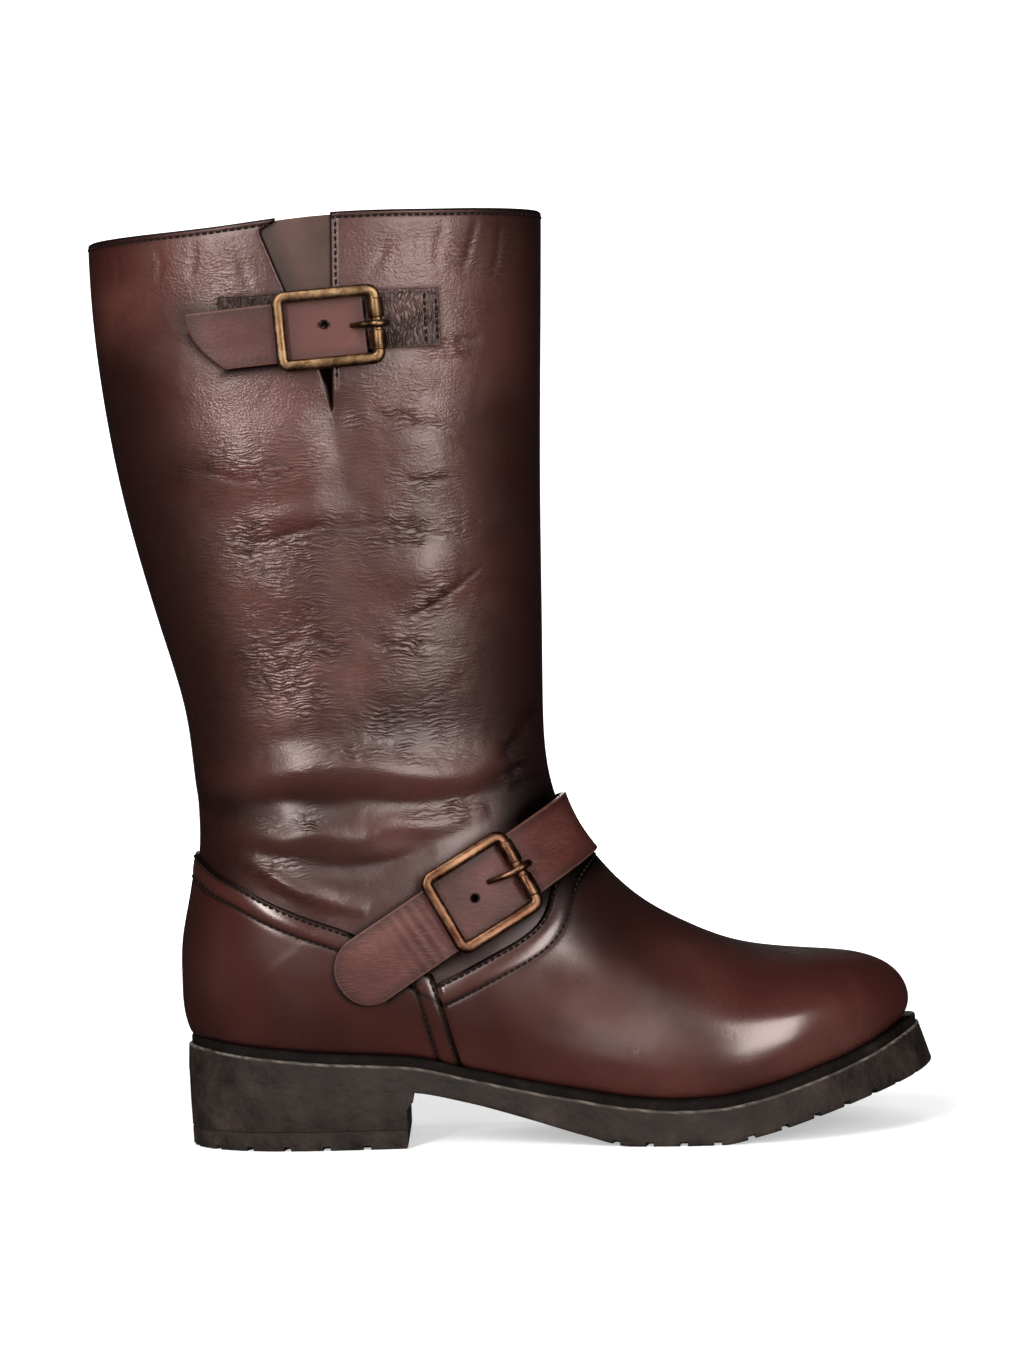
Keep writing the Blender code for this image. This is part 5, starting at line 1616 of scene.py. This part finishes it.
def edgeNotches(edge, pitch, height):
    # short cuts into the tread from its rim
    cut = int(np.argmax(np.linalg.norm(np.diff(edge, axis=0, append=edge[:1]), axis=1))) + 1
    edge = np.roll(edge, -cut, axis=0)
    run = runLength(edge)
    size = (solePiece["grooveWidth"], 2 * solePiece["notchReach"], 2 * solePiece["grooveDepth"])
    boxes = []
    for at in np.arange(pitch / 2, run[-1], pitch):
        x, y = np.interp(at, run, edge[:, 0]), np.interp(at, run, edge[:, 1])
        ahead = np.interp(at + 1, run, edge[:, 0]) - x, np.interp(at + 1, run, edge[:, 1]) - y
        rise = float(height(1, x + ahead[0]) - height(1, x)) / math.hypot(*ahead)
        place = (x, y, float(height(1, x)))
        boxes.append(turnedBox(size, place, -math.atan(rise), math.atan2(ahead[1], ahead[0])))
    return boxes


def outsoleLevel(share, more):
    # the outline from the top edge, at share 0, to the underside, at share 1
    return stations(inset(outline, soleHeight(3, outline[:, 0]) * (1 - share) + more))


def buildOutsole():
    levels = []
    for more, down in solePiece["rimRound"]:
        x, outer, inner = outsoleLevel(0, more)
        levels.append((x, outer, inner, soleHeight(2, x) - down))
    rimDrop, footRise = solePiece["rimRound"][-1][1], solePiece["footRound"][0][1]
    for share in solePiece["wallShares"]:
        x, outer, inner = outsoleLevel(share, 0.0)
        low, high = soleHeight(1, x) + footRise, soleHeight(2, x) - rimDrop
        levels.append((x, outer, inner, high + (low - high) * share))
    fore = softStep(outline[:, 0], 82, 94)  # the heel joins flush
    for more, raised in solePiece["footRound"]:
        x, outer, inner = outsoleLevel(1, more * fore)
        levels.append((x, outer, inner, soleHeight(1, x) + raised))
    points, faces = stack(levels)
    # scuffs and painted glints on the rim
    fields = {"wearAndSheen": rimScuffAndGlint(points, soleHeight(2, points[:, 0]), 0.7)}
    made = addMesh("outsoleBody", points, faces, [rubber], None, fields, 38)
    grooved = outline[outline[:, 0] > solePiece["firstGroove"]]
    carve(made, edgeNotches(grooved, solePiece["groovePitch"], soleHeight))
    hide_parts("outsole")


def heelLevel(shrink, front, z):
    x, outer, inner = stations(inset(outline, shrink), front, 70)
    return x, outer, inner, z(x) if callable(z) else np.full(len(x), z)


def buildHeel():
    breast, lip = solePiece["heelBreast"], solePiece["heelBreast"] + solePiece["breastLip"]
    liftTop, taper = solePiece["liftHeight"] + 0.12, solePiece["heelTaper"]
    lipLow = solePiece["lipBottom"]
    levels = [
        heelLevel(0.1, lip, lambda x: soleHeight(1, x) - 0.05),
        heelLevel(0.1, lip, lambda x: soleHeight(1, x) - 0.6),
        heelLevel(0.3, lip, lipLow),
        heelLevel(0.4, breast, lipLow - solePiece["lipChamfer"]),
        heelLevel(taper - 0.1, breast, liftTop + 0.5),
        heelLevel(taper + 0.25, breast, liftTop),
    ]
    points, faces = stack(levels)
    made = addMesh("heelBlock", points, faces, [rubber], sharp=40)
    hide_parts("heel")
    levels = [
        heelLevel(taper + 0.3, breast, solePiece["liftHeight"]),
        heelLevel(taper - 0.05, breast, solePiece["liftHeight"] - 0.4),
        heelLevel(taper + 0.15, breast, 0.8),
        heelLevel(taper + 0.8, breast - 0.5, 0.0),
    ]
    points, faces = stack(levels)
    made = addMesh("heelTopLift", points, faces, [rubber], sharp=40)
    edge = outline[outline[:, 0] < breast - solePiece["notchPitch"] / 2]
    carve(made, edgeNotches(edge, solePiece["notchPitch"], lambda k, x: 0.0 * x))
    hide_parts("heel_lift")


def buildWelt():
    outerLine = inset(rimOutline, solePiece["weltSetback"])
    rings, width = [], solePiece["weltWidth"]
    for more, raised in ((0.0, 0.1), (0.0, 2.4), (0.3, 3.1), (1.0, 3.5), (width, 3.6), (width, 0.1)):
        x, low, high = stations(inset(outerLine, more))
        places = list(zip(x, low)) + list(zip(x[-2:0:-1], high[-2:0:-1]))
        rings.append([(px, py, float(soleHeight(2, px)) + raised) for px, py in places])
    count = len(rings[0])
    points = [p for ring in rings for p in ring]
    faces = []
    for r in range(len(rings)):
        s = (r + 1) % len(rings)
        for k in range(count):
            m = (k + 1) % count
            faces.append((r * count + k, r * count + m, s * count + m, s * count + k))
    made = addMesh("weltRing", np.array(points), faces, [weltRubber], sharp=45)
    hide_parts("welt")


def buildInsole():
    x, outer, inner = stations(inset(feather, upper["wall"] + 0.6))
    levels = [(x, outer, inner, featherHeight(x) + raised) for raised in (3.0, 0.0)]
    points, faces = stack(levels)
    made = addMesh("insoleBoard", points, faces, [board], sharp=40)
    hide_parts("insole")


buildOutsole()
buildHeel()
buildWelt()
buildInsole()
print("sole done")


# floor, light and camera

stageLook = {
    "floor": (0.93, 0.93, 0.93),
    "floorFront": -0.75,
    "floorBack": 1.6,
    "floorBend": 0.8,
    "floorRise": 1.6,
    "floorHalf": 1.1,
    "domeRadius": 7.0,
    "camera": (126.3, -1600.0, 230.0),
    "pitch": 2.16,
    "roll": 1.88,
    "lens": 4264.1 / 1365 * 36,  # focal length and picture height in pixels, sensor height
    # place, aim, width, height, watts
    "lights": [
        ((-630, -1640, 1130), (70, 0, 200), 290, 2300, 47.0),
        ((840, -1720, 500), (150, 0, 150), 700, 1250, 25.0),
        ((100, 1500, 650), (100, 0, 170), 200, 1100, 8.0),
        ((150, 300, 1900), (130, 100, 0), 1500, 1200, 6.0),
    ],
    "world": 0.015,
    "glow": (0.42, 1.0),
}


def buildFloor():
    back, bend, half = stageLook["floorBack"], stageLook["floorBend"], stageLook["floorHalf"]
    profile = [(stageLook["floorFront"], 0.0), (back, 0.0)]
    for k in range(1, 13):
        t = math.pi / 2 * k / 12
        profile.append((back + bend * math.sin(t), bend - bend * math.cos(t)))
    profile.append((back + bend, stageLook["floorRise"]))
    mesh = bpy.data.meshes.new("floor")
    mesh.from_pydata(
        [(side, y, z) for y, z in profile for side in (-half, half)], [],
        [(2 * k, 2 * k + 1, 2 * k + 3, 2 * k + 2) for k in range(len(profile) - 1)])
    mesh.shade_smooth()
    material, nodes, shader = startMaterial("pale floor")
    place = addNode(nodes, "ShaderNodeTexCoord").outputs["Object"]
    pale = stageLook["floor"]
    tone = ramp(nodes, noise(nodes, place, 3.0, 2.0), [(0.3, tuple(0.985 * v for v in pale)), (0.7, pale)])
    nodes.links.new(tone, shader.inputs["Base Color"])
    shader.inputs["Roughness"].default_value = 0.9
    shader.inputs["Specular IOR Level"].default_value = 0.1
    shader.inputs["Emission Color"].default_value = (1.0, 1.0, 1.0, 1.0)
    depth = addNode(nodes, "ShaderNodeSeparateXYZ", {0: place}).outputs[1]
    nodes.links.new(remap(nodes, depth, 0.12, 0.6, *stageLook["glow"]), shader.inputs["Emission Strength"])
    mesh.materials.append(material)
    floor = linkObject("floor", mesh)
    floor.visible_glossy = False  # the photo shows no bright floor in the leather


def buildBackdrop():
    bpy.ops.mesh.primitive_uv_sphere_add(segments=48, ring_count=24, radius=stageLook["domeRadius"])
    dome = bpy.context.object
    dome.name = "backdrop"
    white, _, shader = startMaterial("white backdrop")
    shader.inputs["Base Color"].default_value = (0.0, 0.0, 0.0, 1.0)
    shader.inputs["Emission Color"].default_value = (1.0, 1.0, 1.0, 1.0)
    shader.inputs["Emission Strength"].default_value = 1.0
    white.cycles.emission_sampling = "NONE"
    dome.data.materials.append(white)
    dome.visible_diffuse = dome.visible_glossy = dome.visible_shadow = False  # it lights nothing


def buildLights():
    for k, (place, aim, width, height, watts) in enumerate(stageLook["lights"]):
        light = bpy.data.lights.new("soft %d" % k, "AREA")
        light.shape, light.size, light.size_y, light.energy = "RECTANGLE", width / 1000, height / 1000, watts
        lamp = linkObject("soft %d" % k, light)
        lamp.location = Vector(place) / 1000 + Vector(shift)
        lamp.rotation_euler = (Vector(aim) - Vector(place)).to_track_quat("-Z", "Y").to_euler()
        lamp.visible_glossy = k < 3  # the one overhead only softens the floor
        lamp.visible_camera = False
    world = bpy.data.worlds.new("studio")
    world.use_nodes = True
    background = world.node_tree.nodes["Background"]
    background.inputs["Color"].default_value = (1.0, 1.0, 1.0, 1.0)
    background.inputs["Strength"].default_value = stageLook["world"]
    bpy.context.scene.world = world


def buildCamera():
    lens = bpy.data.cameras.new("camera")
    lens.sensor_fit, lens.sensor_height, lens.lens = "VERTICAL", 36.0, stageLook["lens"]
    lens.clip_start, lens.clip_end = 0.05, 50.0
    camera = linkObject("camera", lens)
    tilt = Matrix.Rotation(math.radians(90 - stageLook["pitch"]), 3, "X")
    camera.rotation_euler = (tilt @ Matrix.Rotation(math.radians(-stageLook["roll"]), 3, "Z")).to_euler()
    camera.location = Vector(stageLook["camera"]) / 1000 + Vector(shift)
    bpy.context.scene.camera = camera
    bpy.context.scene.view_settings.view_transform = "Standard"


buildFloor()
buildBackdrop()
buildLights()
buildCamera()
print("stage done")
